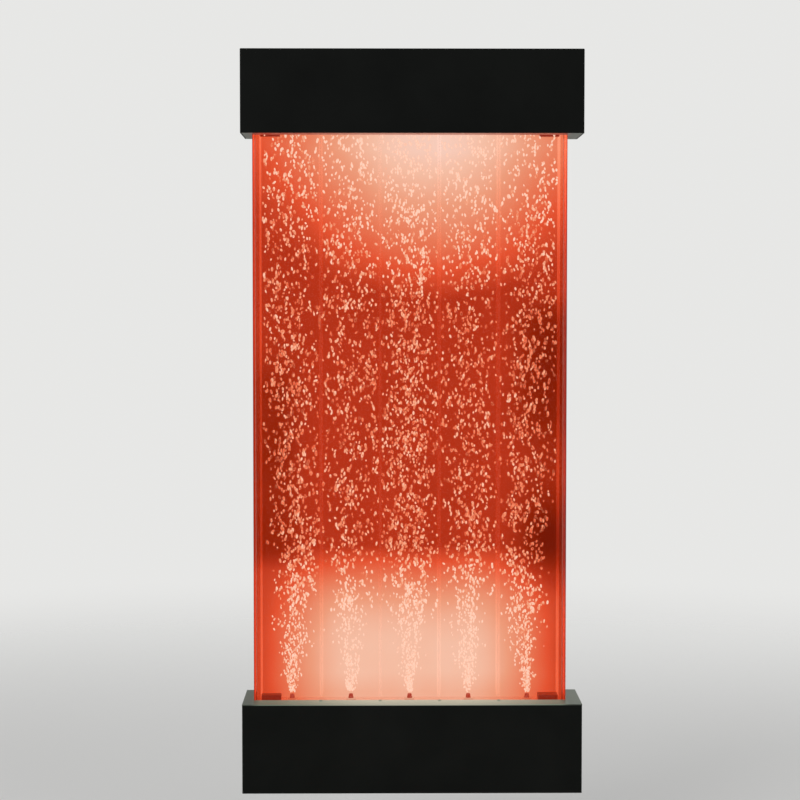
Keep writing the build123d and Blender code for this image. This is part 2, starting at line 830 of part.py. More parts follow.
def flow_knobs():
    y_face = y_cover_inner + knob_setback
    y_back = y_face + knob_length
    stem_end = y_middle - manifold_size / 2 + stem_depth
    for n, x in enumerate(channel_middles, 1):
        head = along_y(x, (y_face, y_back), z_manifold, knob_radius)
        head = fluted(head, (x, y_back, z_manifold), forward, knob_radius, knob_length)
        head -= span(about(x, knob_mark), (y_face, y_face + knob_mark_depth),
                     (z_manifold, z_manifold + knob_radius))
        save(f"flow_knob_{n}", head + along_y(x, (y_back, stem_end), z_manifold, stem_radius))


# Air pump: a coil pulls a magnet on a hinged arm, which works a rubber diaphragm
pump_x = about(x_pump, pump_width)
pump_y = about(y_pump, pump_depth)
z_pump_case = z_pump + pump_base_thick
z_pump_roof = z_pump + pump_height
y_head = pump_y[1] - pump_wall - head_clear
y_diaphragm = y_head - head_depth
y_arm = y_diaphragm - diaphragm_length
y_arm_front = y_arm - arm_thick
y_pin = (y_arm + y_arm_front) / 2
y_magnet = y_arm_front - magnet_thick
y_poles = y_magnet - magnet_gap
y_legs = y_poles - core_leg_length
y_yoke = y_legs - core_yoke
z_pivot = z_pump + arm_pivot_rise
z_magnet = z_pump + arm_head
z_core = z_magnet - magnet_height / 2
z_head = z_manifold - head_height / 2
core_window_edge = core_middle_leg / 2 + core_window
core_half = core_window_edge + core_outer_leg
hose_barb = hose_barb_share * (x_manifold[0] - pump_x[1])


def pump_feet():
    corners = [(x, y) for x in (pump_x[0] + pump_foot_in, pump_x[1] - pump_foot_in)
               for y in (pump_y[0] + pump_foot_in, pump_y[1] - pump_foot_in)]
    save("pump_feet", *[upright(x, y, (z_floor_top, z_pump), pump_foot_radius) for x, y in corners])


def pump_base():
    """The base plate with the arm's two ears and pin, and the posts under the head and the core."""
    ear_in = arm_width / 2 + ear_gap
    ear_out = ear_in + ear_thick
    base = span(pump_x, pump_y, (z_pump, z_pump_case))
    for side in (-1, 1):
        base += span((x_pump + side * ear_in, x_pump + side * ear_out), about(y_pin, 2 * arm_boss_radius),
                     (z_pump, z_pump + ear_height))
    base += along_x(about(x_pump, 2 * ear_out), y_pin, z_pivot, arm_pin_radius)
    base += span(about(x_pump, head_width), (y_diaphragm, y_head), (z_pump, z_head))
    base += span(about(x_pump, core_width), (y_yoke, y_legs), (z_pump, z_core - core_half))
    save("pump_base", base)


def pump_cover():
    cover = span(pump_x, pump_y, (z_pump_case, z_pump_roof))
    cover = fillet(cover.edges().filter_by(Axis.Z) + cover.edges().group_by(Axis.Z)[-1], pump_wall)
    cover -= span(about(x_pump, pump_width - 2 * pump_wall), about(y_pump, pump_depth - 2 * pump_wall),
                  (z_pump, z_pump_roof - pump_wall))
    cover -= along_x((x_pump, pump_x[1] + overrun), y_middle, z_manifold, barb_radius + nozzle_clear)
    save("pump_cover", cover)


def pump_valve_head():
    outlet_end = pump_x[1] + hose_barb
    head = span(about(x_pump, head_width), (y_diaphragm, y_head), (z_head, z_head + head_height))
    head += along_x((x_pump, outlet_end), y_middle, z_manifold, barb_radius)
    head -= along_x((x_pump, outlet_end + overrun), y_middle, z_manifold, nozzle_bore)
    save("pump_valve_head", head)


def pump_hose():
    save("pump_hose", tube((pump_x[1], y_middle, z_manifold), (x_manifold[0], y_middle, z_manifold),
                           hose_bore + hose_wall, hose_bore))


def pump_arm():
    wide = about(x_pump, arm_width)
    save("pump_diaphragm", along_y(x_pump, (y_arm, y_diaphragm), z_manifold, diaphragm_radius))
    arm = span(wide, (y_arm_front, y_arm), (z_pump + arm_foot, z_magnet))
    arm += along_x(wide, y_pin, z_pivot, arm_boss_radius)
    arm -= along_x(about(x_pump, arm_width + 2 * overrun), y_pin, z_pivot, arm_pin_radius + arm_pin_fit)
    magnet = span(wide, (y_magnet, y_arm_front), (z_magnet - magnet_height, z_magnet))
    save("pump_arm", arm, magnet)


def pump_core():
    """A core of three legs on a yoke, and the coil round its middle leg."""
    wide = about(x_pump, core_width)
    legs = (y_legs, y_poles)
    core = span(wide, (y_yoke, y_legs), about(z_core, 2 * core_half))
    core += span(wide, legs, about(z_core, core_middle_leg))
    core += span(wide, legs, (z_core - core_half, z_core - core_window_edge))
    core += span(wide, legs, (z_core + core_window_edge, z_core + core_half))
    save("pump_core", core)
    inside = core_width + 2 * coil_clear
    coil = span(about(x_pump, inside + 2 * (core_window - 2 * coil_clear)),
                (y_legs + coil_clear, y_poles - coil_clear),
                about(z_core, 2 * (core_window_edge - coil_clear)))
    coil -= span(about(x_pump, inside), legs, about(z_core, core_middle_leg + 2 * coil_clear))
    save("pump_coil", coil)


# Controller, power entry and leads
def controller():
    """A closed case, and the board that sits on four posts inside it."""
    z_roof = z_floor_top + controller_height
    z_board = z_floor_top + board_rise
    z_board_top = z_board + board_thick
    room_x = controller_width - 2 * controller_wall
    room_y = controller_depth - 2 * controller_wall
    case = span(about(x_controller, controller_width), about(y_controller, controller_depth),
                (z_floor_top, z_roof))
    case = fillet(case.edges().filter_by(Axis.Z), controller_wall)
    case -= span(about(x_controller, room_x), about(y_controller, room_y),
                 (z_floor_top + controller_wall, z_roof - controller_wall))
    board = span(about(x_controller, room_x - 2 * board_clear), about(y_controller, room_y - 2 * board_clear),
                 (z_board, z_board_top))
    for x in about(x_controller, room_x - 2 * board_rise):
        for y in about(y_controller, room_y - 2 * board_rise):
            case += upright(x, y, (z_floor_top + controller_wall / 2, z_board), board_post_radius)
    for x in (x_controller - chip_step, x_controller, x_controller + chip_step):
        board += span(about(x, chip_size), about(y_controller, chip_size),
                      (z_board_top, z_board_top + chip_height))
    save("controller_case", case)
    save("controller_board", board)


def power_entry():
    """The mains inlet with its two pins, and beside it the well and pin of the rocker."""
    y_inlet = y_entry + inlet_from_middle
    y_rocker = y_entry - rocker_from_middle
    z_face = z_lower_floor - entry_flange_thick
    z_pivot = z_face + rocker_pivot_rise
    z_inlet = z_face + inlet_reach
    body = span(about(x_entry, entry_width), about(y_entry, entry_depth),
                (z_face, z_lower_floor + entry_height))
    body += span(about(x_entry, entry_width + 2 * entry_flange),
                 about(y_entry, entry_depth + 2 * entry_flange),
                 (z_face, z_lower_floor))
    body -= span(about(x_entry, inlet_width), about(y_inlet, inlet_depth), (z_face - overrun, z_inlet))
    for x in about(x_entry, inlet_pin_spacing):
        body += upright(x, y_inlet, (z_inlet, z_inlet - inlet_pin_length), inlet_pin_radius)
    well_width = rocker_width + rocker_room
    body -= span(about(x_entry, well_width), about(y_rocker, rocker_length + 2 * rocker_room),
                 (z_face - overrun, z_pivot + rocker_back + rocker_room))
    body += along_x(about(x_entry, well_width), y_rocker, z_pivot, rocker_pin_radius)
    save("power_entry", body)
    rocker = span(about(0, rocker_width), about(0, rocker_length), (-rocker_face, rocker_back))
    rocker -= along_x(about(0, rocker_width + 2 * overrun), 0, 0, rocker_pin_radius + rocker_pin_fit)
    save("power_rocker", Pos(x_entry, y_rocker, z_pivot) * Rot(-rocker_tilt, 0, 0) * rocker)


def bend_radii(points):
    """Each bend is as large as the two runs beside it allow."""
    radii = []
    for before, here, after in zip(points, points[1:], points[2:]):
        first = Vector(*here) - Vector(*before)
        second = Vector(*after) - Vector(*here)
        half_turn = math.radians(first.get_angle(second)) / 2
        radii.append(lead_bend_share * min(first.length, second.length) / math.tan(half_turn))
    return radii


def lead(*points):
    """A round lead along straight runs joined by bends."""
    if len(points) == 2:
        return rod(*points, lead_radius)
    radii = bend_radii(points)
    print("lead bend radii", [round(r, 1) for r in radii])
    path = FilletPolyline(*points, radius=radii)
    first = Vector(*points[1]) - Vector(*points[0])
    section = Plane(origin=points[0], z_dir=first) * Circle(lead_radius)
    run = sweep(section, path=path)
    expected = math.pi * lead_radius ** 2 * path.length
    print("lead volume against section times length", round(run.volume / expected, 4))
    return run


def lead_clip(y, z):
    """A saddle on the back panel that holds the upper light's lead behind it."""
    tall = about(z, clip_height)
    clip = span(about(x_lead_column, clip_width), (y_chassis, y + lead_radius), tall)
    clip -= upright(x_lead_column, y, about(z, clip_height + 2 * overrun), lead_radius + clip_fit)
    return clip - span(about(x_lead_column, clip_mouth), (y, overrun), about(z, clip_height + 2 * overrun))


def wiring_harness():
    left, right = about(x_controller, controller_width)
    y_rear = y_controller + controller_depth / 2
    y_pump_lead = pump_y[0] + pump_lead_front
    bar_end = tank_shift + light_length / 2
    to_pump = lead((left, y_pump_lead, z_lead), (pump_x[1], y_pump_lead, z_lead))
    from_entry = lead((x_entry + entry_width / 2, y_entry, z_lead), (left, y_entry, z_lead))
    x_riser = bar_end + light_tab + light_lead_out
    z_lower = z_tank_bottom - light_lead_drop
    to_lower = lead((right, y_lower_light, z_lead), (x_riser, y_lower_light, z_lead),
                    (x_riser, y_lower_light, z_lower), (bar_end, y_lower_light, z_lower))
    y_behind = -upper_lead_back
    y_inside = y_rear - upper_lead_back
    x_upper = bar_end - light_lead_in
    z_upper = z_lid + upper_lead_rise
    to_upper = lead((right, y_inside, z_lead), (x_lead_column, y_inside, z_lead),
                    (x_lead_column, y_behind, z_lead), (x_lead_column, y_behind, z_upper),
                    (x_lead_column, y_inside, z_upper), (x_upper, y_inside, z_upper),
                    (x_upper, y_upper_light + light_width / 2, z_upper))
    clip_step = (z_upper - z_lead) / (clip_count + 1)
    clips = [lead_clip(y_behind, z_lead + (n + 1) * clip_step) for n in range(clip_count)]
    save("wiring_harness", to_pump, from_entry, to_lower, to_upper, *clips)


# Drain
y_lever = y_middle - lever_back
y_lever_face = y_lever - lever_thick


def drain_valve_body():
    def ring(z_range, radius):
        return upright(x_drain, y_middle, z_range, radius)

    z_low = z_drain - drain_body_half
    z_high = z_drain + drain_body_half
    z_tail = z_tank_floor + drain_thread
    y_boss = y_middle - drain_boss_reach
    body = fillet(ring((z_low, z_high), drain_body_radius).edges(), drain_body_round)
    body += ring((z_drain, z_tail), drain_tail_radius)
    body += ring((z_tank_bottom - drain_flange, z_tank_bottom), drain_flange_radius)
    body += ring((z_bottom, z_drain), drain_spout_radius)
    body += along_y(x_drain, (y_middle, y_boss), z_drain, drain_boss_radius)
    body -= ring((z_bottom - overrun, z_tail + overrun), drain_bore)
    body -= Pos(x_drain, y_middle, z_drain) * Sphere(drain_ball_radius + drain_ball_fit)
    body -= along_y(x_drain, (y_middle, y_boss - overrun), z_drain, drain_stem_radius + stem_fit)
    save("drain_valve_body", body)


def drain_ball():
    """The ball stands across the pipe: its bore lies along X while the valve is shut."""
    ball = Pos(x_drain, y_middle, z_drain) * Sphere(drain_ball_radius)
    ball += along_y(x_drain, (y_middle, y_lever_face), z_drain, drain_stem_radius)
    ball -= along_x(about(x_drain, 2 * drain_body_radius), y_middle, z_drain, drain_bore)
    save("drain_ball", ball)


def drain_lever():
    deep = (y_lever, y_lever_face)
    x_tip = x_drain + lever_reach - lever_width / 2
    lever = along_y(x_drain, deep, z_drain, lever_hub)
    lever += span((x_drain, x_tip), deep, about(z_drain, lever_width))
    lever += along_y(x_tip, deep, z_drain, lever_width / 2)
    lever -= along_y(x_drain, (y_lever + overrun, y_lever_face - overrun), z_drain,
                     drain_stem_radius + stem_fit)
    save("drain_lever", lever)


makers = [
    wall_rail, hanging_rail, wall_buffers, back_panel, back_reflector, upper_chassis, lower_chassis,
    upper_soffit, lower_deck, upper_cover, lower_cover, cover_magnets, tank_cradle, fasteners,
    tank_sheets, tank_floor, channel_dividers, tank_lid, spacer_blocks, drain_strainer, filler,
    light_bars, air_line, air_manifold, flow_knobs, pump_feet, pump_base, pump_cover,
    pump_valve_head, pump_hose, pump_arm, pump_core, controller, power_entry, wiring_harness,
    drain_valve_body, drain_ball, drain_lever,
]
for make in makers:
    make()

os.makedirs("parts", exist_ok=True)
for name, solids in pieces.items():
    shape = solids[0] if len(solids) == 1 else Compound(children=list(solids))
    export_step(shape, f"parts/{name}.step")
print(len(pieces), "sub-parts written")
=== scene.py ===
import math
import random

import bmesh
import bpy
from mathutils import Euler, Matrix, Vector


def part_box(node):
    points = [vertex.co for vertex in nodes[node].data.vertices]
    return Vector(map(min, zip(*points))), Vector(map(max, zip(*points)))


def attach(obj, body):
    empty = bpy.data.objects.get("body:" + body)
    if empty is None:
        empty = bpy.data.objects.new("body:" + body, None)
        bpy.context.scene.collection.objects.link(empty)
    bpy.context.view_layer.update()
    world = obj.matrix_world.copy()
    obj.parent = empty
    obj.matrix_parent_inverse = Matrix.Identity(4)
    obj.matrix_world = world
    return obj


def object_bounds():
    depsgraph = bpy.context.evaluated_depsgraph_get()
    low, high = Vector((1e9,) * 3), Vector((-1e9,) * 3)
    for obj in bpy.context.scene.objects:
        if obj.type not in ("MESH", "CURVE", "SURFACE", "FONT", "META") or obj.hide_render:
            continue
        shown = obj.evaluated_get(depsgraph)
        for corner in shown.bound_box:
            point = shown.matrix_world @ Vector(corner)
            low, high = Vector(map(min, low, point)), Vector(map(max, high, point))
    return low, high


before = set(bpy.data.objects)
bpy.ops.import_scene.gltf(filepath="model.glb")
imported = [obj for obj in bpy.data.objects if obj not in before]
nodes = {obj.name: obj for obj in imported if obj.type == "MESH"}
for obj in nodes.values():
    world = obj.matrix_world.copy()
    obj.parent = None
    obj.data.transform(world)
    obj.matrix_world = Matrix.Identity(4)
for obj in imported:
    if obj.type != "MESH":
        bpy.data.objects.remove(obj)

# A wall-hung bubble wall panel. Everything is in metres, in the CAD model's frame.
cad_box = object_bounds()
scene = bpy.context.scene
knob_numbers = range(1, 6)


def low(node):
    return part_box(node)[0]


def high(node):
    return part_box(node)[1]


def middle(node):
    return (low(node) + high(node)) / 2


# Camera, where the photograph was taken from
camera_place = (-0.0433, -2.8340, -0.2953)
camera_down = 0.0423
camera_turn = -0.0093
camera_lens = 84.27
camera_shift = -0.025

camera_data = bpy.data.cameras.new("camera")
camera_data.lens = camera_lens
camera_data.shift_y = camera_shift
camera = bpy.data.objects.new("camera", camera_data)
camera.location = camera_place
camera.rotation_euler = (math.pi / 2 - camera_down, 0, camera_turn)
scene.collection.objects.link(camera)
scene.camera = camera
scene.view_settings.view_transform = "Standard"


# Node trees: short ways to add a node and to join it up
def add(tree, kind, **settings):
    node = tree.nodes.new(kind)
    for name, value in settings.items():
        setattr(node, name, value)
    return node


def put(tree, node, socket, value):
    """Give an input a value, or join it to another node's output."""
    target = node.inputs[socket]
    if isinstance(value, bpy.types.NodeSocket):
        tree.links.new(value, target)
    elif hasattr(value, "__len__") and len(value) == 3 and target.type == "RGBA":
        target.default_value = (*value, 1)
    else:
        target.default_value = value


def join(tree, operation, values, clamp=False):
    """Math nodes in a row: each joins the result so far to the next value."""
    result = values[0]
    for value in values[1:]:
        node = add(tree, "ShaderNodeMath", operation=operation, use_clamp=clamp)
        put(tree, node, 0, result)
        put(tree, node, 1, value)
        result = node.outputs[0]
    return result


def plus(tree, *values, clamp=False):
    return join(tree, "ADD", values, clamp)


def minus(tree, *values):
    return join(tree, "SUBTRACT", values)


def times(tree, *values):
    return join(tree, "MULTIPLY", values)


def function_of(tree, operation, value):
    """A Math node with one input, such as a sine."""
    node = add(tree, "ShaderNodeMath", operation=operation)
    put(tree, node, 0, value)
    return node.outputs[0]


def away_from(tree, value, place):
    """The distance between a value and a place, with no sign."""
    return function_of(tree, "ABSOLUTE", minus(tree, value, place))


def between(tree, value, start, end, to_start=0.0, to_end=1.0, smooth=False):
    """A value's place between two others, as a new range."""
    kind = "SMOOTHSTEP" if smooth else "LINEAR"
    node = add(tree, "ShaderNodeMapRange", interpolation_type=kind)
    put(tree, node, "Value", value)
    put(tree, node, "From Min", start)
    put(tree, node, "From Max", end)
    put(tree, node, "To Min", to_start)
    put(tree, node, "To Max", to_end)
    return node.outputs["Result"]


def bell(tree, value, middle_at, spread):
    """A smooth hill, 1 at its middle."""
    off = minus(tree, value, middle_at)
    return function_of(tree, "EXPONENT", times(tree, off, off, -0.5 / spread ** 2))


def blend(tree, share, first, second):
    """A mix of two colours."""
    node = add(tree, "ShaderNodeMix", data_type="RGBA")
    put(tree, node, 0, share)
    for socket, value in ((6, first), (7, second)):
        put(tree, node, socket, value)
    return node.outputs[2]


def place_of(tree):
    """The three object coordinates, apart."""
    where = add(tree, "ShaderNodeTexCoord")
    parts = add(tree, "ShaderNodeSeparateXYZ")
    put(tree, parts, 0, where.outputs["Object"])
    return parts.outputs


def noise(tree, scale, detail, stretch=None, roughness=0.55):
    """Noise on object coordinates, which may be stretched."""
    where = add(tree, "ShaderNodeTexCoord").outputs["Object"]
    if stretch is not None:
        mapping = add(tree, "ShaderNodeMapping")
        put(tree, mapping, "Vector", where)
        put(tree, mapping, "Scale", stretch)
        where = mapping.outputs[0]
    node = add(tree, "ShaderNodeTexNoise")
    put(tree, node, "Vector", where)
    put(tree, node, "Scale", scale)
    put(tree, node, "Detail", detail)
    put(tree, node, "Roughness", roughness)
    return node.outputs["Fac"]


def new_group(name, inputs, outputs):
    group = bpy.data.node_groups.new(name, "ShaderNodeTree")
    for label, value in inputs.items():
        socket = group.interface.new_socket(label, in_out="INPUT", socket_type="NodeSocketFloat")
        socket.default_value = value
    for label, kind in outputs.items():
        group.interface.new_socket(label, in_out="OUTPUT", socket_type="NodeSocket" + kind)
    return group, group.nodes.new("NodeGroupInput").outputs, group.nodes.new("NodeGroupOutput")


def use(tree, group, **values):
    """Place a node group in a material, with its own values."""
    node = add(tree, "ShaderNodeGroup", node_tree=group)
    for name, value in values.items():
        put(tree, node, name, value)
    return node.outputs


def linear(*rgb):
    """A colour as a screen shows it, 0 to 255, made linear."""
    return tuple(((c / 255 + 0.055) / 1.055) ** 2.4 if c > 10 else c / 255 / 12.92 for c in rgb)


# Shared effects
def make_fine_grain():
    """Powder coat or moulded skin: an even fine grain, with wide soft patches for the tone."""
    group, given, out = new_group("fine_grain", {"Scale": 900.0}, {"Tone": "Float", "Height": "Float"})
    put(group, out, "Height", noise(group, given["Scale"], detail=2.0))
    put(group, out, "Tone", noise(group, scale=9.0, detail=5.0))
    return group


def make_brushed_lines():
    """Long fine lines from a brushing belt, along X."""
    group, given, out = new_group("brushed_lines", {"Scale": 60.0}, {"Tone": "Float", "Height": "Float"})
    fine = noise(group, given["Scale"], detail=4.0, stretch=(0.35, 40, 40))
    wide = noise(group, scale=7.0, detail=3.0, stretch=(1.0, 6, 6))
    fine_share, wide_share = 0.65, 0.35
    put(group, out, "Height", fine)
    put(group, out, "Tone", plus(group, times(group, fine, fine_share), times(group, wide, wide_share)))
    return group


def make_spangle():
    """Zinc plating: small crystals, each a little lighter or darker."""
    group, given, out = new_group("spangle", {"Scale": 120.0}, {"Tone": "Float", "Height": "Float"})
    where = add(group, "ShaderNodeTexCoord").outputs["Object"]
    crystals = add(group, "ShaderNodeTexVoronoi")
    put(group, crystals, "Vector", where)
    put(group, crystals, "Scale", given["Scale"])
    grey = add(group, "ShaderNodeRGBToBW")
    put(group, grey, 0, crystals.outputs["Color"])
    put(group, out, "Tone", grey.outputs[0])
    put(group, out, "Height", noise(group, scale=500.0, detail=2.0))
    return group


def make_rub_marks():
    """Where hands and cloths have been: faint broad smears, as a mask."""
    group, given, out = new_group("rub_marks", {"Amount": 0.5}, {"Mask": "Float"})
    smear = noise(group, scale=5.0, detail=6.0, stretch=(1.0, 1.0, 2.2), roughness=0.62)
    put(group, out, "Mask", times(group, between(group, smear, 0.48, 0.72), given["Amount"]))
    return group


def make_scratches():
    """Polished acrylic: the odd fine scratch, lying level, as a mask."""
    group, given, out = new_group("scratches", {"Scale": 45.0}, {"Mask": "Float"})
    put(group, out, "Mask", noise(group, given["Scale"], detail=5.0, stretch=(1.0, 1.0, 9.0)))
    return group


fine_grain = make_fine_grain()
brushed_lines = make_brushed_lines()
spangle = make_spangle()
rub_marks = make_rub_marks()
scratches = make_scratches()

# The glow of the back sheet from its two light bars, as a warmth from 0, dark red, to 1, nearly white
glow_steps = (
    (0.00, linear(112, 18, 1)),
    (0.13, linear(144, 33, 6)),
    (0.26, linear(179, 50, 23)),
    (0.40, linear(221, 81, 47)),
    (0.54, linear(226, 119, 84)),
    (0.70, linear(231, 155, 122)),
    (0.86, linear(238, 188, 162)),
    (1.00, linear(241, 206, 190)),
)
z_soffit = low("upper_soffit").z
z_deck = high("lower_deck").z
tank_middle = middle("tank_front_sheet").x
tank_half = (high("tank_front_sheet").x - low("tank_front_sheet").x) / 2
red_warmth = 0.25
cloud_scale = 14.0
cloud_warmth = 0.015
top_light = {"x": 0.031, "spread": 0.148, "strength": 0.72, "reach": 0.246, "narrowing": 1.6, "full": 0.92}
deck_light = {"x": -0.002, "wide": 0.085, "end": 0.270, "strength": 0.61, "reach": 0.223, "full": 0.065,
              "foot": 0.03, "foot_share": 0.88}

# The darker sides, half way up. Each pair says where a shade starts and where it is full.
right_shade = {"x": (0.130, 0.212), "top": (-0.270, -0.345), "foot": (-0.755, -0.665), "warmth": 0.19}
right_gap = {"z": -0.545, "height": 0.055, "share": 0.62}
right_patch = {"x": (0.150, 0.212), "z": -0.650, "height": 0.030, "warmth": 0.09}
left_shade = {"x": (-0.150, -0.205), "top": (-0.330, -0.460), "foot": (-0.705, -0.672), "warmth": 0.115}


def top_pool(tree, x, z):
    """Light that spreads down from the upper bar, and reaches less far at the sides."""
    light = top_light
    down = minus(tree, z_soffit, z)
    off = minus(tree, x, light["x"])
    reach = minus(tree, light["reach"], times(tree, off, off, light["narrowing"]))
    left = minus(tree, 1.0, join(tree, "DIVIDE", (down, reach)))
    fall = between(tree, left, 0.0, light["full"])
    hill = times(tree, bell(tree, x, light["x"], light["spread"]), light["strength"])
    return times(tree, fall, hill)


def deck_pool(tree, x, z):
    """Light that spreads up from the lower bar and stops quickly, along a level line."""
    light = deck_light
    up = minus(tree, z, z_deck)
    rise = between(tree, up, light["reach"], light["full"])
    full = function_of(tree, "SINE", times(tree, rise, math.pi / 2))
    near = between(tree, up, 0.0, light["foot"], light["foot_share"], 1.0)
    off = away_from(tree, x, light["x"])
    hill = between(tree, off, light["end"], light["wide"], 0.0, light["strength"], smooth=True)
    return times(tree, full, near, hill)


def dim_sides(tree, x, z):
    """The two sides are darker half way up, the right one more so, with a lighter gap in it."""
    def shade(value, ends):
        return between(tree, value, *ends, smooth=True)

    right = times(tree, shade(x, right_shade["x"]), shade(z, right_shade["top"]), right_shade["warmth"])
    gap = times(tree, bell(tree, z, right_gap["z"], right_gap["height"]), right_gap["share"])
    right = times(tree, right, minus(tree, 1.0, gap))
    hill = bell(tree, z, right_patch["z"], right_patch["height"])
    patch = times(tree, shade(x, right_patch["x"]), hill, right_patch["warmth"])
    right = times(tree, plus(tree, right, patch), shade(z, right_shade["foot"]))
    left = times(tree, shade(x, left_shade["x"]), shade(z, left_shade["top"]), left_shade["warmth"],
                 shade(z, left_shade["foot"]))
    return plus(tree, left, right)


def make_tank_glow():
    """The glow's colour and warmth at each place, lifted or lowered where a material asks for it."""
    group, given, out = new_group("tank_glow", {"Lift": 0.0}, {"Colour": "Color", "Warmth": "Float"})
    x, y, z = place_of(group)
    pools = plus(group, top_pool(group, x, z), deck_pool(group, x, z), red_warmth)
    cloud = between(group, noise(group, cloud_scale, detail=2.0), 0.3, 0.7, -cloud_warmth, cloud_warmth)
    warmth = plus(group, minus(group, pools, dim_sides(group, x, z)), cloud, given["Lift"])
    ramp = add(group, "ShaderNodeValToRGB")
    stops = ramp.color_ramp.elements
    for stop, (step, colour) in zip(stops, (glow_steps[0], glow_steps[-1])):
        stop.position = step
        stop.color = (*colour, 1)
    for step, colour in glow_steps[1:-1]:
        stops.new(step).color = (*colour, 1)
    put(group, ramp, 0, warmth)
    put(group, out, "Colour", ramp.outputs[0])
    put(group, out, "Warmth", warmth)
    return group


tank_glow = make_tank_glow()


def glow_colour(tree, lift=0.0):
    return use(tree, tank_glow, Lift=lift)["Colour"]


# Finishes
def shader_of(material):
    return material.node_tree, material.node_tree.nodes["Principled BSDF"]


def new_material(name):
    material = bpy.data.materials.new(name)
    material.use_nodes = True
    return material, *shader_of(material)


def shine(tree, shader, colour, strength=1.0):
    put(tree, shader, "Emission Color", colour)
    put(tree, shader, "Emission Strength", strength)


def bump(tree, shader, height, strength):
    depth = 0.0002
    node = add(tree, "ShaderNodeBump")
    put(tree, node, "Strength", strength)
    put(tree, node, "Distance", depth)
    put(tree, node, "Height", height)
    put(tree, shader, "Normal", node.outputs[0])


def two_tone(tree, shader, effect, dark, light, roughness):
    """Colour and roughness that follow an effect's tone, with rubbed places smoother."""
    rubbed_smoother = 0.06
    put(tree, shader, "Base Color", blend(tree, between(tree, effect["Tone"], 0.3, 0.7), dark, light))
    rubbed = times(tree, use(tree, rub_marks)["Mask"], rubbed_smoother)
    rough = between(tree, effect["Tone"], 0.25, 0.75, *roughness)
    put(tree, shader, "Roughness", minus(tree, rough, rubbed))


def coated(name, dark, light, roughness, specular=0.5):
    """Powder-coated or moulded: fine grain."""
    material, tree, shader = new_material(name)
    effect = use(tree, fine_grain)
    two_tone(tree, shader, effect, dark, light, roughness)
    put(tree, shader, "Specular IOR Level", specular)
    bump(tree, shader, effect["Height"], strength=0.15)
    return material


def metal(name, dark, light, roughness, group=brushed_lines, scale=60.0, relief=0.1):
    material, tree, shader = new_material(name)
    effect = use(tree, group, Scale=scale)
    two_tone(tree, shader, effect, dark, light, roughness)
    put(tree, shader, "Metallic", 1.0)
    bump(tree, shader, effect["Height"], relief)
    return material


def glowing_sheet():
    """The opal sheet behind the tank, lit from its two ends. Its back stays dark."""
    material, tree, shader = new_material("lit_opal_back")
    # The dark red base colour is painted light; the sheet itself is opal
    put(tree, shader, "Base Color", linear(70, 18, 8))
    grain = use(tree, fine_grain, Scale=400.0)
    put(tree, shader, "Roughness", between(tree, grain["Tone"], 0.2, 0.8, 0.42, 0.56))
    put(tree, shader, "Specular IOR Level", 0.1)
    past_middle, edge = 0.0010, 0.0002
    y_dark = middle("back_reflector").y + past_middle
    front = between(tree, place_of(tree)["Y"], y_dark, y_dark + edge, 1, 0)
    shine(tree, shader, blend(tree, front, linear(60, 10, 3), glow_colour(tree)))
    return material


def thin_acrylic(name):
    """Clear acrylic seen edge on, as a thin layer."""
    material, tree, shader = new_material(name)
    # The red base colour is painted light from the tank; the acrylic itself is clear
    put(tree, shader, "Base Color", linear(150, 60, 40))
    put(tree, shader, "Roughness", between(tree, use(tree, scratches)["Mask"], 0.55, 0.80, 0.04, 0.12))
    put(tree, shader, "Specular IOR Level", 0.15)
    return material, tree, shader


def clear_edge(name, see, lift=0.05, strength=1.0):
    """A thin layer of the tank's glow that lets most light by."""
    material, tree, shader = thin_acrylic(name)
    shine(tree, shader, glow_colour(tree, lift), strength)
    put(tree, shader, "Alpha", see)
    return material


def edge_lit_wall(name, outer, inner, outer_lift):
    """An end wall: its two faces catch the light, and so does a line along its middle. Its foot is
    darker, because it mirrors the dark block beside it."""
    inner_lift, foot_lift = 0.16, 0.17
    inner_share, line_share, line_at, line_spread = 0.42, 0.25, 0.45, 0.0012
    skin, skin_full = 0.0006, 0.0003
    z_block, edge = high("drain_strainer").z, 0.001
    material, tree, shader = thin_acrylic(name)
    x, y, z = place_of(tree)
    thick = abs(inner - outer)
    depth = times(tree, minus(tree, x, outer), 1 if inner > outer else -1)
    layer = add(tree, "ShaderNodeLayerWeight")
    put(tree, layer, "Blend", 0.5)
    along = between(tree, layer.outputs["Facing"], 0.3, 0.93, 0.22, 1.0)
    at_outer = between(tree, depth, skin, skin_full)
    at_inner = between(tree, depth, thick - skin, thick - skin_full)
    foot = between(tree, z, z_block + edge, z_block - edge, 0.0, foot_lift)
    lift = minus(tree, between(tree, at_inner, 0.0, 1.0, outer_lift, inner_lift), foot)
    shine(tree, shader, glow_colour(tree, lift))
    line = times(tree, bell(tree, depth, line_at * thick, line_spread), line_share)
    faces = (times(tree, at_outer, along), times(tree, at_inner, inner_share))
    put(tree, shader, "Alpha", join(tree, "MAXIMUM", (*faces, line)))
    return material


def face_sheet(name):
    """A tank face: clear cast acrylic, polished, with its two long edges lit."""
    rim_depth, rim_full = 0.0022, 0.0004
    material, tree, shader = new_material(name)
    put(tree, shader, "Transmission Weight", 1.0)
    put(tree, shader, "IOR", 1.08)
    put(tree, shader, "Roughness", between(tree, use(tree, scratches)["Mask"], 0.60, 0.80, 0.0, 0.05))
    off = away_from(tree, place_of(tree)["X"], tank_middle)
    rim = between(tree, off, tank_half - rim_depth, tank_half - rim_full)
    glow = blend(tree, 0.35, glow_colour(tree, 0.10), (0.30, 0.17, 0.14))
    # The reddish tint is painted light from the tank; the white at the rim is a painted highlight
    put(tree, shader, "Base Color", blend(tree, rim, (1, 1, 1), linear(168, 80, 60)))
    shine(tree, shader, blend(tree, rim, (0, 0, 0), glow), strength=0.08)
    return material


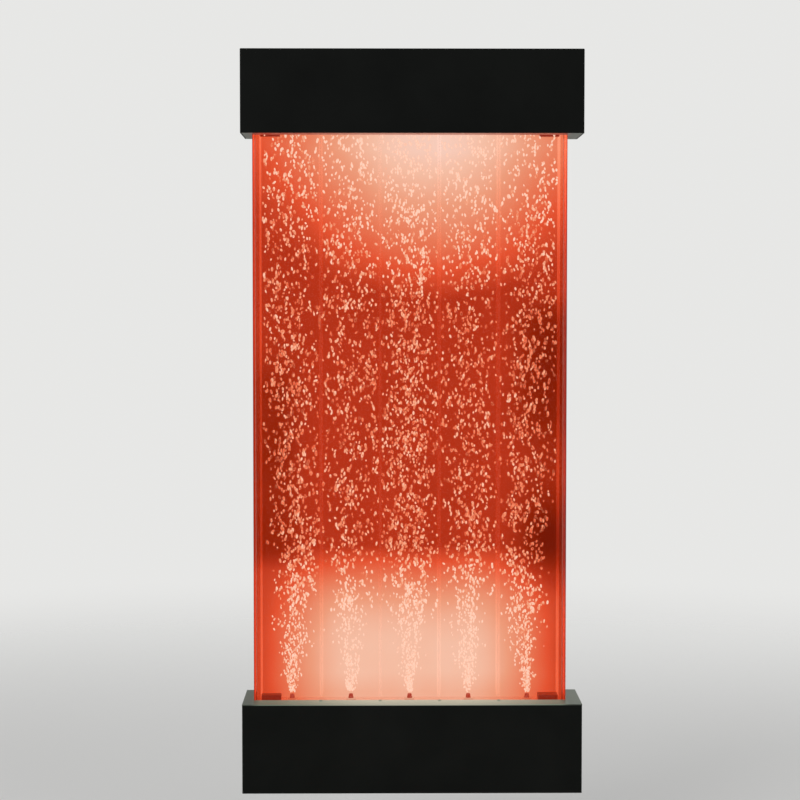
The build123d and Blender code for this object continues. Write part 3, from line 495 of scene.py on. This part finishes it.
def warm_dark(name, dark, light, glow):
    """A plastic piece in the tank, with the tank's red light in it."""
    material = coated(name, dark, light, (0.35, 0.5))
    tree, shader = shader_of(material)
    shade = [c * 0.6 for c in glow]
    shine(tree, shader, blend(tree, use(tree, fine_grain)["Tone"], glow, shade), strength=0.8)
    return material


def lit_nozzle():
    """A nozzle's tip carries painted dark red light, and its flange takes on the glow round it."""
    material = warm_dark("nozzle_dark", *red_lit_black, linear(205, 62, 34))
    tree, shader = shader_of(material)
    tip_height, edge = 0.006, 0.0002
    flange_foot, flange_full = 0.006, 0.004
    z = place_of(tree)["Z"]
    z_flange = high("air_nozzles").z - tip_height
    flange = times(tree, between(tree, z, z_flange + edge, z_flange),
                   between(tree, z, z_flange - flange_foot, z_flange - flange_full))
    tip = shader.inputs["Emission Color"].links[0].from_socket
    put(tree, shader, "Emission Color", blend(tree, flange, tip, glow_colour(tree, -0.05)))
    return material


def light_board(name, level, way):
    """A light board: white, with a lit face on each light chip."""
    chip_foot, chip_full = 0.0006, 0.0004
    material = coated(name, (0.74, 0.74, 0.70), (0.84, 0.84, 0.80), (0.4, 0.5))
    tree, shader = shader_of(material)
    chip = between(tree, place_of(tree)["Z"], level - way * chip_foot, level - way * chip_full)
    shine(tree, shader, blend(tree, chip, (0, 0, 0), (1.0, 0.62, 0.46)), strength=2.0)
    return material


def lit_plate(name, dark, light, spill, spill_end):
    """Brushed plate round the tank, with the light that spills onto it beside the tank. The spill
    has one colour near the middle and another at the ends."""
    past_tank, in_tank, pale_half, pale_aside = 0.006, 0.012, 0.05, 0.015
    front_reach, front_share, back_reach = 0.034, 0.72, 0.004
    material = metal(name, dark, light, (0.36, 0.48))
    tree, shader = shader_of(material)
    x, y, z = place_of(tree)
    sheet_front, sheet_back = low("tank_front_sheet").y, high("tank_back_sheet").y
    off = away_from(tree, x, tank_middle)
    beside = between(tree, off, tank_half + past_tank, tank_half - in_tank, smooth=True)
    off = away_from(tree, x, tank_middle + pale_aside)
    pale = between(tree, off, tank_half + past_tank, pale_half, smooth=True)
    ahead = between(tree, y, sheet_front - front_reach, sheet_front, front_share, 1.0)
    behind = between(tree, y, sheet_back + back_reach, sheet_back)
    grain = between(tree, use(tree, brushed_lines, Scale=90.0)["Tone"], 0.3, 0.7, 0.9, 1.0)
    amount = times(tree, beside, behind, times(tree, ahead, grain))
    put(tree, shader, "Metallic", 0.45)
    put(tree, shader, "Specular Tint", (0.37, 0.42, 0.35))
    shine(tree, shader, blend(tree, amount, (0, 0, 0), blend(tree, pale, spill_end, spill)))
    return material


def opal_lens(name):
    """The lens of a light bar, lit through."""
    material = coated(name, (0.84, 0.82, 0.80), (0.90, 0.88, 0.86), (0.3, 0.4))
    tree, shader = shader_of(material)
    shine(tree, shader, blend(tree, use(tree, fine_grain)["Tone"], (0.9, 0.42, 0.30), (0.95, 0.50, 0.38)))
    return material


# Each finish's darker and lighter tone, then its smoothest and roughest
# One satin black coat for both housings: the upper copy is darker as painted shade, the lower lighter as
# painted light
black_upper_painted_shade = coated("satin_black_painted_shade", (0.0020, 0.0024, 0.0021), (0.0038, 0.0044, 0.0038), (0.42, 0.52),
                     specular=0.05)
black_lower_painted_light = coated("satin_black_painted_light", (0.0032, 0.0038, 0.0032), (0.0056, 0.0062, 0.0054), (0.42, 0.52),
                     specular=0.05)
black_frame = coated("matt_black_frame", (0.008, 0.008, 0.008), (0.014, 0.014, 0.014), (0.55, 0.68),
                     specular=0.2)
zinc_sheet = metal("zinc_plate", (0.34, 0.35, 0.36), (0.47, 0.48, 0.48), (0.36, 0.52), spangle, 150.0)
zinc_screw = metal("zinc_screw", (0.50, 0.50, 0.48), (0.66, 0.66, 0.63), (0.28, 0.42), spangle, 700.0)
# The deck and the soffit are one brushed stainless; their different tones are painted light and shade
deck_plate = lit_plate("deck_stainless", (0.058, 0.067, 0.056), (0.088, 0.098, 0.082),
                       linear(180, 179, 160), linear(98, 110, 94))
deck_screw = lit_plate("deck_screw_steel", (0.080, 0.090, 0.080), (0.120, 0.130, 0.110),
                       linear(140, 138, 118), linear(80, 100, 88))
soffit_plate = lit_plate("soffit_stainless", (0.085, 0.095, 0.082), (0.130, 0.142, 0.124),
                         linear(176, 106, 92), linear(146, 36, 24))
aluminium = metal("drawn_aluminium", (0.68, 0.69, 0.70), (0.80, 0.81, 0.82), (0.32, 0.42), scale=90.0)
manifold_metal = metal("anodised_bar", (0.58, 0.59, 0.60), (0.70, 0.71, 0.72), (0.34, 0.46), scale=120.0)
clamp_steel = metal("clamp_stainless", (0.44, 0.45, 0.45), (0.58, 0.59, 0.58), (0.26, 0.38), scale=200.0)
brass = metal("cast_brass", (0.55, 0.38, 0.14), (0.70, 0.50, 0.22), (0.30, 0.46), spangle, 600.0)
chrome = metal("chromed_ball", (0.60, 0.61, 0.62), (0.72, 0.73, 0.74), (0.08, 0.16), spangle, 300.0, 0.02)
nickel = metal("nickelled_magnet", (0.62, 0.60, 0.56), (0.74, 0.72, 0.68), (0.18, 0.28), spangle, 500.0, 0.04)
iron = metal("stacked_iron", (0.14, 0.14, 0.15), (0.24, 0.24, 0.25), (0.4, 0.55), scale=300.0, relief=0.4)
arm_steel = metal("spring_steel", (0.42, 0.42, 0.43), (0.56, 0.56, 0.57), (0.28, 0.4), scale=150.0)
copper = metal("coil_wire", (0.50, 0.20, 0.09), (0.72, 0.32, 0.16), (0.28, 0.42), scale=160.0, relief=0.5)
pump_plastic = coated("pump_grey", (0.10, 0.11, 0.12), (0.15, 0.16, 0.17), (0.42, 0.55))
case_plastic = coated("case_black", (0.012, 0.012, 0.013), (0.022, 0.022, 0.023), (0.38, 0.5))
knob_plastic = coated("knob_black", (0.010, 0.010, 0.010), (0.020, 0.020, 0.020), (0.34, 0.46))
rocker_plastic = coated("rocker_black", (0.016, 0.016, 0.016), (0.028, 0.028, 0.028), (0.24, 0.34))
white_plastic = coated("valve_white", (0.70, 0.72, 0.70), (0.82, 0.83, 0.80), (0.3, 0.42))
pointer_paint = coated("pointer_white", (0.62, 0.62, 0.58), (0.76, 0.76, 0.72), (0.38, 0.5))
band_plastic = coated("valve_band_blue", (0.020, 0.060, 0.110), (0.034, 0.090, 0.150), (0.34, 0.46))
rubber = coated("black_rubber", (0.018, 0.018, 0.018), (0.034, 0.034, 0.034), (0.7, 0.82), specular=0.3)
lever_red = coated("lever_red", (0.36, 0.02, 0.012), (0.50, 0.035, 0.02), (0.3, 0.42))
lead_jacket = coated("lead_black", (0.014, 0.014, 0.014), (0.026, 0.026, 0.026), (0.45, 0.58))
silicone = coated("silicone_hose", (0.66, 0.72, 0.72), (0.78, 0.83, 0.83), (0.24, 0.36))
circuit = coated("circuit_green", (0.010, 0.085, 0.030), (0.018, 0.14, 0.05), (0.28, 0.42))

# Black plastic for the pieces in the tank, with a dark red tint that is painted light from the tank
red_lit_black = ((0.03, 0.006, 0.003), (0.05, 0.01, 0.005))
block_glow = linear(160, 36, 10)
face = face_sheet("clear_face")
finishes = {
    "wall_rail": zinc_sheet, "hanging_rail": zinc_sheet, "chassis_screws": zinc_screw,
    "wall_buffers": rubber, "back_panel": black_frame, "upper_chassis": black_frame,
    "lower_chassis": black_frame, "tank_cradle": black_frame, "upper_cover": black_upper_painted_shade,
    "lower_cover": black_lower_painted_light, "cover_magnets": nickel, "upper_soffit": soffit_plate,
    "lower_deck": deck_plate, "deck_screws": deck_screw,
    "back_reflector": glowing_sheet(), "tank_front_sheet": face, "tank_back_sheet": face,
    "tank_left_wall": edge_lit_wall("lit_left_wall", low("tank_left_wall").x,
                                    high("tank_left_wall").x, outer_lift=-0.05),
    "tank_right_wall": edge_lit_wall("lit_right_wall", high("tank_right_wall").x,
                                     low("tank_right_wall").x, outer_lift=-0.11),
    "tank_floor": clear_edge("lit_floor", see=0.40, lift=-0.04, strength=0.72),
    "tank_lid": clear_edge("lit_lid", see=0.40),
    "channel_dividers": clear_edge("lit_divider", see=0.13, lift=0.03),
    "filler_neck": clear_edge("filler_acrylic", see=0.35), "filler_cap": case_plastic,
    "spacer_blocks": warm_dark("block_dark", *red_lit_black, block_glow),
    "drain_strainer": warm_dark("strainer_dark", *red_lit_black, block_glow),
    "air_nozzles": lit_nozzle(), "nozzle_nuts": case_plastic,
    "nozzle_seals": warm_dark("seal_silicone", (0.20, 0.06, 0.04), (0.26, 0.08, 0.05),
                              linear(232, 140, 106)),
    "upper_light_channel": aluminium, "lower_light_channel": aluminium,
    "upper_light_board": light_board("upper_board_white", low("upper_light_board").z, -1),
    "lower_light_board": light_board("lower_board_white", high("lower_light_board").z, 1),
    "upper_light_lens": opal_lens("upper_lens_opal"), "lower_light_lens": opal_lens("lower_lens_opal"),
    "controller_case": case_plastic, "controller_board": circuit, "wiring_harness": lead_jacket,
    "power_entry": case_plastic, "power_rocker": rocker_plastic,
    "check_valves": white_plastic, "channel_hoses": silicone, "pump_hose": silicone,
    "air_manifold": manifold_metal, "pump_base": pump_plastic, "pump_cover": pump_plastic,
    "pump_core": iron, "pump_coil": copper, "pump_arm": arm_steel, "pump_diaphragm": rubber,
    "pump_valve_head": white_plastic, "pump_feet": rubber, "drain_valve_body": brass,
    "drain_ball": chrome, "drain_lever": lever_red,
}
for n in knob_numbers:
    finishes[f"flow_knob_{n}"] = knob_plastic
for name, material in finishes.items():
    mesh = nodes[name].data
    mesh.materials.clear()
    mesh.materials.append(material)


# New pieces
def piece(name, mesh, material, body):
    """Make a finished mesh a piece that rides on a body."""
    data = bpy.data.meshes.new(name)
    mesh.to_mesh(data)
    mesh.free()
    data.materials.append(material)
    made = bpy.data.objects.new(name, data)
    scene.collection.objects.link(made)
    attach(made, body)
    return made


def shade_smooth(made, sharp=None):
    """Smooth faces, with the edges sharper than an angle in degrees kept sharp."""
    made.data.polygons.foreach_set("use_smooth", [True] * len(made.data.polygons))
    if sharp:
        made.data.set_sharp_from_angle(angle=math.radians(sharp))


# Small fittings inside the housings: clamps, nuts, boots, pointers and ribs
mm = 0.001
air_x = [middle(f"flow_knob_{n}").x for n in knob_numbers]
z_manifold = middle("flow_knob_1").z
y_air = middle("air_manifold").y
hose_outer = 4.3 * mm
valve_outer = 7.0 * mm
lead_outer = 1.5 * mm
z_lead = low("wiring_harness").z + lead_outer
band_bite = 0.05 * mm
crease_angle = 30


def at(x, y, z):
    return Matrix.Translation((x, y, z))


def to_front(x, y, z):
    """Turns a part that was made lying down so that it faces the front, at a place."""
    return at(x, y, z) @ Matrix.Rotation(math.pi / 2, 4, "X")


def facing(place, way):
    """Turns a part's own up to point another way, at a place."""
    return at(*place) @ Vector(way).to_track_quat("Z", "Y").to_matrix().to_4x4()


def lay(mesh, part, matrix):
    """Copies a finished part into a piece, at its place."""
    copy = bpy.data.meshes.new("part")
    part.to_mesh(copy)
    copy.transform(matrix)
    mesh.from_mesh(copy)
    bpy.data.meshes.remove(copy)


def fit(name, material, slot, *sets):
    """One piece on the panel, made of sets. Each is a part, and the places where copies of it go."""
    mesh = bmesh.new()
    for part, places in sets:
        for place in places:
            lay(mesh, part, place)
        part.free()
    shade_smooth(piece(name, mesh, material, "panel"), crease_angle)


def corners(node, inset, z):
    """The four places near the corners of a piece, at a height."""
    start, end = low(node), high(node)
    return [at(x, y, z) for x in (start.x + inset, end.x - inset) for y in (start.y + inset, end.y - inset)]


def top_edges(part, tall):
    """The edges round a part's top."""
    near_top = 0.9 * tall
    return [e for e in part.edges if all(v.co.z > near_top for v in e.verts)]


def soft_corners(part, verts, by, segments=2):
    bmesh.ops.bevel(part, geom=verts, offset=by, offset_type="OFFSET", segments=segments, profile=0.5,
                    affect="VERTICES", material=-1)


def soft_edges(part, edges, by, segments=2):
    bmesh.ops.bevel(part, geom=edges, offset=by, offset_type="OFFSET", segments=segments, profile=0.5,
                    affect="EDGES", material=-1)


def band(inner, outer, width, steps=36, soft=0.15 * mm):
    """A ring of square section with soft corners, round its own up."""
    part = bmesh.new()
    section = to_front((inner + outer) / 2, 0, 0) @ Matrix.Diagonal((outer - inner, width, 1, 1))
    bmesh.ops.create_grid(part, x_segments=1, y_segments=1, size=0.5, matrix=section)
    soft_corners(part, part.verts[:], soft)
    bmesh.ops.delete(part, geom=part.faces[:], context="FACES_ONLY")
    bmesh.ops.spin(part, geom=part.verts[:] + part.edges[:], cent=(0, 0, 0), axis=(0, 0, 1),
                   angle=2 * math.pi, steps=steps, use_merge=True, use_duplicate=False)
    bmesh.ops.remove_doubles(part, verts=part.verts, dist=1e-6)
    bmesh.ops.recalc_face_normals(part, faces=part.faces)
    return part


def bar(wide, tall, thick, corner, soft):
    """A flat bar with rounded corners and a softened upper edge, thick along its own up."""
    part = bmesh.new()
    bmesh.ops.create_grid(part, x_segments=1, y_segments=1, size=0.5,
                          matrix=Matrix.Diagonal((wide, tall, 1, 1)))
    soft_corners(part, part.verts[:], corner, segments=4)
    raised = bmesh.ops.extrude_face_region(part, geom=part.faces[:])["geom"]
    top = [v for v in raised if isinstance(v, bmesh.types.BMVert)]
    bmesh.ops.translate(part, verts=top, vec=(0, 0, thick))
    bmesh.ops.recalc_face_normals(part, faces=part.faces)
    soft_edges(part, top_edges(part, thick), soft)
    return part


def cone(part, wide, thin, tall):
    """A round body that stands on its own foot."""
    bmesh.ops.create_cone(part, cap_ends=True, segments=28, radius1=wide, radius2=thin, depth=tall,
                          matrix=at(0, 0, tall / 2))


def button_head(radius, tall, socket):
    """A round screw head with a softened rim and a socket."""
    soft, deep = 0.4 * tall, 0.6 * tall
    part = bmesh.new()
    cone(part, radius, radius, tall)
    soft_edges(part, top_edges(part, tall), soft, segments=3)
    top = max(part.faces, key=lambda f: f.calc_center_median().z)
    bmesh.ops.inset_region(part, faces=[top], thickness=radius - soft - socket)
    sunk = bmesh.ops.extrude_discrete_faces(part, faces=[top])["faces"]
    bmesh.ops.translate(part, verts=sunk[0].verts, vec=(0, 0, -deep))
    bmesh.ops.recalc_face_normals(part, faces=part.faces)
    return part


def boot():
    """A ribbed sleeve that keeps a lead from kinking where it leaves a case."""
    long, wide, thin, soft = 9.0 * mm, 3.0 * mm, 2.0 * mm, 0.3 * mm
    rib_out, rib_wide, rib_shares = 0.5 * mm, 1.1 * mm, (0.08, 0.32, 0.56, 0.80)
    sleeve = bmesh.new()
    cone(sleeve, wide, thin, long)
    soft_edges(sleeve, top_edges(sleeve, long), soft)
    for share in rib_shares:
        rib = band(lead_outer, wide + (thin - wide) * share + rib_out, rib_wide, steps=28)
        lay(sleeve, rib, at(0, 0, share * long))
        rib.free()
    return sleeve


def make_pointers():
    """A painted mark in the groove of each knob's face."""
    wide, tall, thick, corner, soft = 1.0 * mm, 7.4 * mm, 0.5 * mm, 0.45 * mm, 0.1 * mm
    up, groove = 4.9 * mm, 0.6 * mm
    for n, x in zip(knob_numbers, air_x):
        mark = bar(wide, tall, thick, corner, soft)
        mark.transform(to_front(x, low(f"flow_knob_{n}").y + groove, z_manifold + up))
        piece(f"knob_pointer_{n}", mark, pointer_paint, f"knob_{n}")


def make_hose_clamps():
    """Two on each hose: a band, and on the upright hoses the ear by which it is pinched shut."""
    wide, thick, ear, ear_thick, ear_soft = 3.6 * mm, 0.5 * mm, 3.2 * mm, 1.9 * mm, 0.4 * mm
    above_bar, barb, from_end, from_side = 10.2 * mm, 8 * mm, 3.2 * mm, 2.4 * mm
    levels = (z_manifold + above_bar, low("check_valves").z + barb - from_end,
              high("check_valves").z - barb + from_end, high("channel_hoses").z - from_end)
    ends = (low("pump_hose").x + from_side, high("pump_hose").x - from_side)
    straps = [at(x, y_air, z) for x in air_x for z in levels]
    straps += [facing((x, y_air, z_manifold), (1, 0, 0)) for x in ends]
    ears = [to_front(x, y_air - hose_outer, z) for x in air_x for z in levels]
    fit("hose_clamps", clamp_steel, "plated_steel",
        (band(hose_outer - band_bite, hose_outer + thick, wide), straps),
        (bar(ear, ear, ear_thick, ear_soft, ear_soft), ears))


def make_valve_bands():
    """A broad coloured band round each check valve, and a thin one above it."""
    broad, broad_out, thin, thin_out, thin_soft = 4.0 * mm, 0.45 * mm, 1.0 * mm, 0.25 * mm, 0.1 * mm
    up, steps = 5.2 * mm, 44
    z_body = middle("check_valves").z
    inner = valve_outer - band_bite
    fit("check_valve_bands", band_plastic, "case_black",
        (band(inner, valve_outer + broad_out, broad, steps), [at(x, y_air, z_body) for x in air_x]),
        (band(inner, valve_outer + thin_out, thin, steps, thin_soft),
         [at(x, y_air, z_body + up) for x in air_x]))


def make_stem_nuts():
    """A gland nut round each valve stem, and the washer behind it."""
    nut_inner, nut_outer, nut_thick, nut_soft = 3.5 * mm, 5.8 * mm, 3.2 * mm, 0.3 * mm
    washer_inner, washer_outer, washer_thick = 3.1 * mm, 6.4 * mm, 0.8 * mm
    y_face = low("air_manifold").y

    def on_stems(ahead):
        return [facing((x, y_face - ahead, z_manifold), (0, -1, 0)) for x in air_x]

    fit("stem_nuts", brass, "valve_brass",
        (band(washer_inner, washer_outer, washer_thick), on_stems(washer_thick / 2)),
        (band(nut_inner, nut_outer, nut_thick, steps=6, soft=nut_soft),
         on_stems(washer_thick + nut_thick / 2)))


def make_lead_boots():
    """A boot where each lead leaves the controller, the pump or the power inlet."""
    from_front, from_back, overlap = 9 * mm, 4 * mm, 3 * mm
    left, right = low("controller_case").x, high("controller_case").x
    y_mains = middle("power_entry").y
    y_pump_lead = low("pump_cover").y + from_front
    y_lower_lead = middle("lower_light_channel").y
    y_upper_lead = high("controller_case").y - from_back
    ends = ((left, y_mains, -1), (left, y_pump_lead, -1), (right, y_lower_lead, 1), (right, y_upper_lead, 1),
            (high("pump_cover").x, y_pump_lead, 1), (high("power_entry").x - overlap, y_mains, 1))
    places = [facing((x, y, z_lead), (way, 0, 0)) for x, y, way in ends]
    fit("lead_boots", rubber, "lead_jacket", (boot(), places))


def make_grommets():
    """A rubber ring each side of the two holes that the upper light's lead passes."""
    from_edge, inner, outer, thick, soft = 6.5 * mm, 2.6 * mm, 5.6 * mm, 1.4 * mm, 0.4 * mm
    sunk = 0.1 * mm
    x = high("back_panel").x - from_edge
    out = thick / 2 - sunk
    places = [facing((x, y, z), (0, 1, 0)) for z in (z_lead, high("wiring_harness").z - lead_outer)
              for y in (high("upper_chassis").y + out, low("back_panel").y - out)]
    fit("lead_grommets", rubber, "lead_jacket", (band(inner, outer, thick, soft=soft), places))


def make_case_screws():
    """Four screws on the controller's lid and four on the pump's cover."""
    radius, tall, socket = 2.6 * mm, 1.3 * mm, 1.1 * mm
    case_inset, pump_inset = 6.5 * mm, 6 * mm
    places = corners("controller_case", case_inset, high("controller_case").z)
    places += corners("pump_cover", pump_inset, high("pump_cover").z)
    fit("case_screws", zinc_screw, "zinc_screw", (button_head(radius, tall, socket), places))


def make_pump_ribs():
    """Upright ribs on the pump's front, and the round air filter on its top."""
    wide, tall, thick, corner, soft, pitch = 1.8 * mm, 54 * mm, 1.4 * mm, 0.85 * mm, 0.4 * mm, 5.2 * mm
    dish_inner, dish_outer, dish_tall, dish_soft, sunk = 1.0 * mm, 9.0 * mm, 2.4 * mm, 0.6 * mm, 0.1 * mm
    cap_radius, cap_tall, cap_socket = 5.5 * mm, 4.2 * mm, 2.2 * mm
    centre, z_top = middle("pump_cover"), high("pump_cover").z
    ribs = [to_front(centre.x + n * pitch, low("pump_cover").y, centre.z) for n in range(-3, 4)]
    fit("pump_ribs", pump_plastic, "pump_grey",
        (bar(wide, tall, thick, corner, soft), ribs),
        (band(dish_inner, dish_outer, dish_tall, steps=40, soft=dish_soft),
         [at(centre.x, centre.y, z_top + dish_tall / 2 - sunk)]),
        (button_head(cap_radius, cap_tall, cap_socket), [at(centre.x, centre.y, z_top)]))


def make_case_vents():
    """Vent ribs on the controller's lid."""
    wide, tall, thick, corner, soft, pitch = 1.6 * mm, 30 * mm, 1.0 * mm, 0.75 * mm, 0.3 * mm, 5 * mm
    centre, z_top = middle("controller_case"), high("controller_case").z
    ribs = [at(centre.x + n * pitch, centre.y, z_top) for n in range(-5, 6)]
    fit("controller_vents", case_plastic, "case_black", (bar(wide, tall, thick, corner, soft), ribs))


make_pointers()
make_hose_clamps()
make_valve_bands()
make_stem_nuts()
make_lead_boots()
make_grommets()
make_case_screws()
make_pump_ribs()
make_case_vents()


# Bubbles: a column from each nozzle, narrow at first, that widens until it fills its channel
bubble_counts = (1900, 1600, 2250, 1600, 1800)
first_seed = 100
y_tank_middle = (high("tank_front_sheet").y + low("tank_back_sheet").y) / 2
y_room = 0.0175
z_nozzle_tip = high("air_nozzles").z
above_tip = 0.004
above_soffit = 0.030
column_height = z_soffit + above_soffit - z_nozzle_tip
channel_room = 0.0415

# Each column's lean to a side, how often it turns, and where its turns start
bubble_lean = ((0.012, 1.05, 0.3), (0.004, 1.7, 2.6), (0.004, 1.3, 1.2), (0.003, 1.9, 4.0), (0.012, 1.0, 3.4))
spread_at_foot, spread_more, spread_full_share, spread_power = 0.0018, 0.031, 0.46, 0.74
depth_at_foot, depth_share = 0.004, 0.3
rise_power = 1.1

# A share of the bubbles follows the bubble before it closely, as in a string
string_share = 0.18
string_aside, string_deep, string_up = 0.0022, 0.001, (0.003, 0.006)

# One bubble's sizes, its shape as shares of its half width, and how far it is turned
half_width = (0.0010, 0.0020)
small_share, small_below = 0.8, 0.12
long_shares, flat_shares = (1.25, 2.1), (0.75, 1.0)
tilt_forward, tilt_aside, turn_round = (-0.4, 0.4), 0.4, (0, 3)


def bubble_material():
    """Air in water: bright where it faces the front of the tank, dim and red at the back."""
    y_dim, y_bright = y_tank_middle + 0.013, y_tank_middle - 0.011
    dim_lift, bright_lift, tone_lift = 0.10, 0.46, 0.16
    material, tree, shader = new_material("air_bubble")
    layer = add(tree, "ShaderNodeLayerWeight")
    put(tree, layer, "Blend", 0.3)
    tone = between(tree, noise(tree, scale=150.0, detail=1.0), 0.36, 0.64, -tone_lift, tone_lift)
    near = between(tree, place_of(tree)["Y"], y_dim, y_bright, dim_lift, bright_lift)
    glow = use(tree, tank_glow, Lift=plus(tree, near, tone))
    pale = between(tree, glow["Warmth"], 0.62, 1.15, 0.0, 0.8)
    inside = blend(tree, pale, glow["Colour"], linear(252, 211, 188))
    put(tree, shader, "Base Color", linear(90, 36, 24))
    put(tree, shader, "Roughness", between(tree, tone, -tone_lift, tone_lift, 0.15, 0.3))
    put(tree, shader, "Specular IOR Level", 0.06)
    shine(tree, shader, blend(tree, layer.outputs["Facing"], inside, linear(250, 170, 125)))
    return material


def one_bubble():
    ball = bmesh.new()
    bmesh.ops.create_uvsphere(ball, u_segments=7, v_segments=5, radius=1)
    shape = bpy.data.meshes.new("one_bubble")
    ball.to_mesh(shape)
    ball.free()
    return shape


def bubble_place(draw, n, rise):
    """A place in the column, at a share of its height: it leans, and it widens as it rises."""
    lean, turns, start = bubble_lean[n]
    aside = lean * min(1.0, 3 * rise) * math.sin(turns * 2 * math.pi * rise + start)
    spread = spread_at_foot + spread_more * min(1.0, (rise / spread_full_share) ** spread_power)
    x = aside + draw.gauss(0, spread)
    while abs(x) > channel_room:
        x = aside + draw.gauss(0, spread)
    y = max(-y_room, min(y_room, draw.gauss(0, depth_at_foot + depth_share * spread)))
    return Vector((x, y, rise * column_height))


def next_in_string(draw, place):
    """A place just above the bubble before, still inside the channel."""
    step = Vector((draw.gauss(0, string_aside), draw.gauss(0, string_deep), draw.uniform(*string_up)))
    x, y, z = place + step
    return Vector((max(-channel_room, min(channel_room, x)), y, min(z, column_height)))


def bubble_column(n, x, ball, material):
    """All the bubbles above one nozzle, as one piece."""
    draw = random.Random(first_seed + n)
    column = bmesh.new()
    nozzle = Vector((x, y_tank_middle, z_nozzle_tip + above_tip))
    place = None
    for k in range(bubble_counts[n]):
        if place is not None and draw.random() < string_share:
            place = next_in_string(draw, place)
        else:
            place = bubble_place(draw, n, draw.random() ** rise_power)
        wide = draw.uniform(*half_width) * (small_share if place.z < small_below else 1.0)
        tall = wide * draw.uniform(*long_shares)
        turn = Euler((draw.uniform(*tilt_forward), draw.gauss(0, tilt_aside), draw.uniform(*turn_round)))
        size = Vector((wide, wide * draw.uniform(*flat_shares), tall))
        copy = ball.copy()
        copy.transform(Matrix.LocRotScale(nozzle + place, turn, size))
        column.from_mesh(copy)
        bpy.data.meshes.remove(copy)
    shade_smooth(piece(f"bubbles_{n + 1}", column, material, "panel"))


air = bubble_material()
ball = one_bubble()
for n, x in enumerate(air_x):
    bubble_column(n, x, ball, air)


# Studio: a pale floor some way below the hanging panel, soft lamps, and a pale backdrop in the world
floor_below = 0.16
floor_level = cad_box[0].z - floor_below
floor_radius = 5.0
floor_fade = (0.9, 3.2)
backdrop = (0.80, 0.80, 0.788)
world_strength = 0.45
lamp_target = Vector((0, -0.05, -0.45))
lamps = (
    ("key", (-1.9, -2.6, 0.9), 1.8, 44),
    ("fill", (2.2, -2.2, 0.1), 2.0, 22),
    ("back", (0.6, 2.4, 0.8), 2.0, 16),
)


def make_floor():
    """A disc that fades out into the backdrop, and that isn't seen from below."""
    disc = bmesh.new()
    bmesh.ops.create_circle(disc, cap_ends=True, radius=floor_radius, segments=96,
                            matrix=at(0, 0, floor_level))
    data = bpy.data.meshes.new("studio_floor")
    disc.to_mesh(data)
    disc.free()
    material, tree, shader = new_material("pale_floor")
    put(tree, shader, "Base Color", (0.80, 0.80, 0.79))
    put(tree, shader, "Roughness", 0.9)
    put(tree, shader, "Specular IOR Level", 0.1)
    x, y, z = place_of(tree)
    away = function_of(tree, "SQRT", plus(tree, times(tree, x, x), times(tree, y, y)))
    fade = between(tree, away, *floor_fade, 1.0, 0.0, smooth=True)
    from_above = minus(tree, 1.0, add(tree, "ShaderNodeNewGeometry").outputs["Backfacing"])
    put(tree, shader, "Alpha", times(tree, fade, from_above))
    data.materials.append(material)
    made = bpy.data.objects.new("studio_floor", data)
    scene.collection.objects.link(made)


def make_lamps():
    for name, place, size, power in lamps:
        data = bpy.data.lights.new(name, "AREA")
        data.size = size
        data.energy = power
        lamp = bpy.data.objects.new(name, data)
        lamp.location = place
        lamp.rotation_euler = (lamp_target - Vector(place)).to_track_quat("-Z", "Y").to_euler()
        lamp.visible_camera = False
        lamp.visible_transmission = False
        scene.collection.objects.link(lamp)


def make_world():
    """A soft even light, and a pale backdrop for what the camera, metal and glass show."""
    world = bpy.data.worlds.new("studio")
    scene.world = world
    world.use_nodes = True
    tree = world.node_tree
    tree.nodes.clear()
    light = add(tree, "ShaderNodeBackground")
    put(tree, light, "Color", (1, 1, 1))
    put(tree, light, "Strength", world_strength)
    seen = add(tree, "ShaderNodeBackground")
    put(tree, seen, "Color", backdrop)
    path = add(tree, "ShaderNodeLightPath").outputs
    any_seen = plus(tree, path["Is Camera Ray"], path["Is Glossy Ray"], path["Is Transmission Ray"],
                    clamp=True)
    mix = add(tree, "ShaderNodeMixShader")
    put(tree, mix, 0, any_seen)
    put(tree, mix, 1, light.outputs[0])
    put(tree, mix, 2, seen.outputs[0])
    put(tree, add(tree, "ShaderNodeOutputWorld"), "Surface", mix.outputs[0])


make_floor()
make_lamps()
make_world()
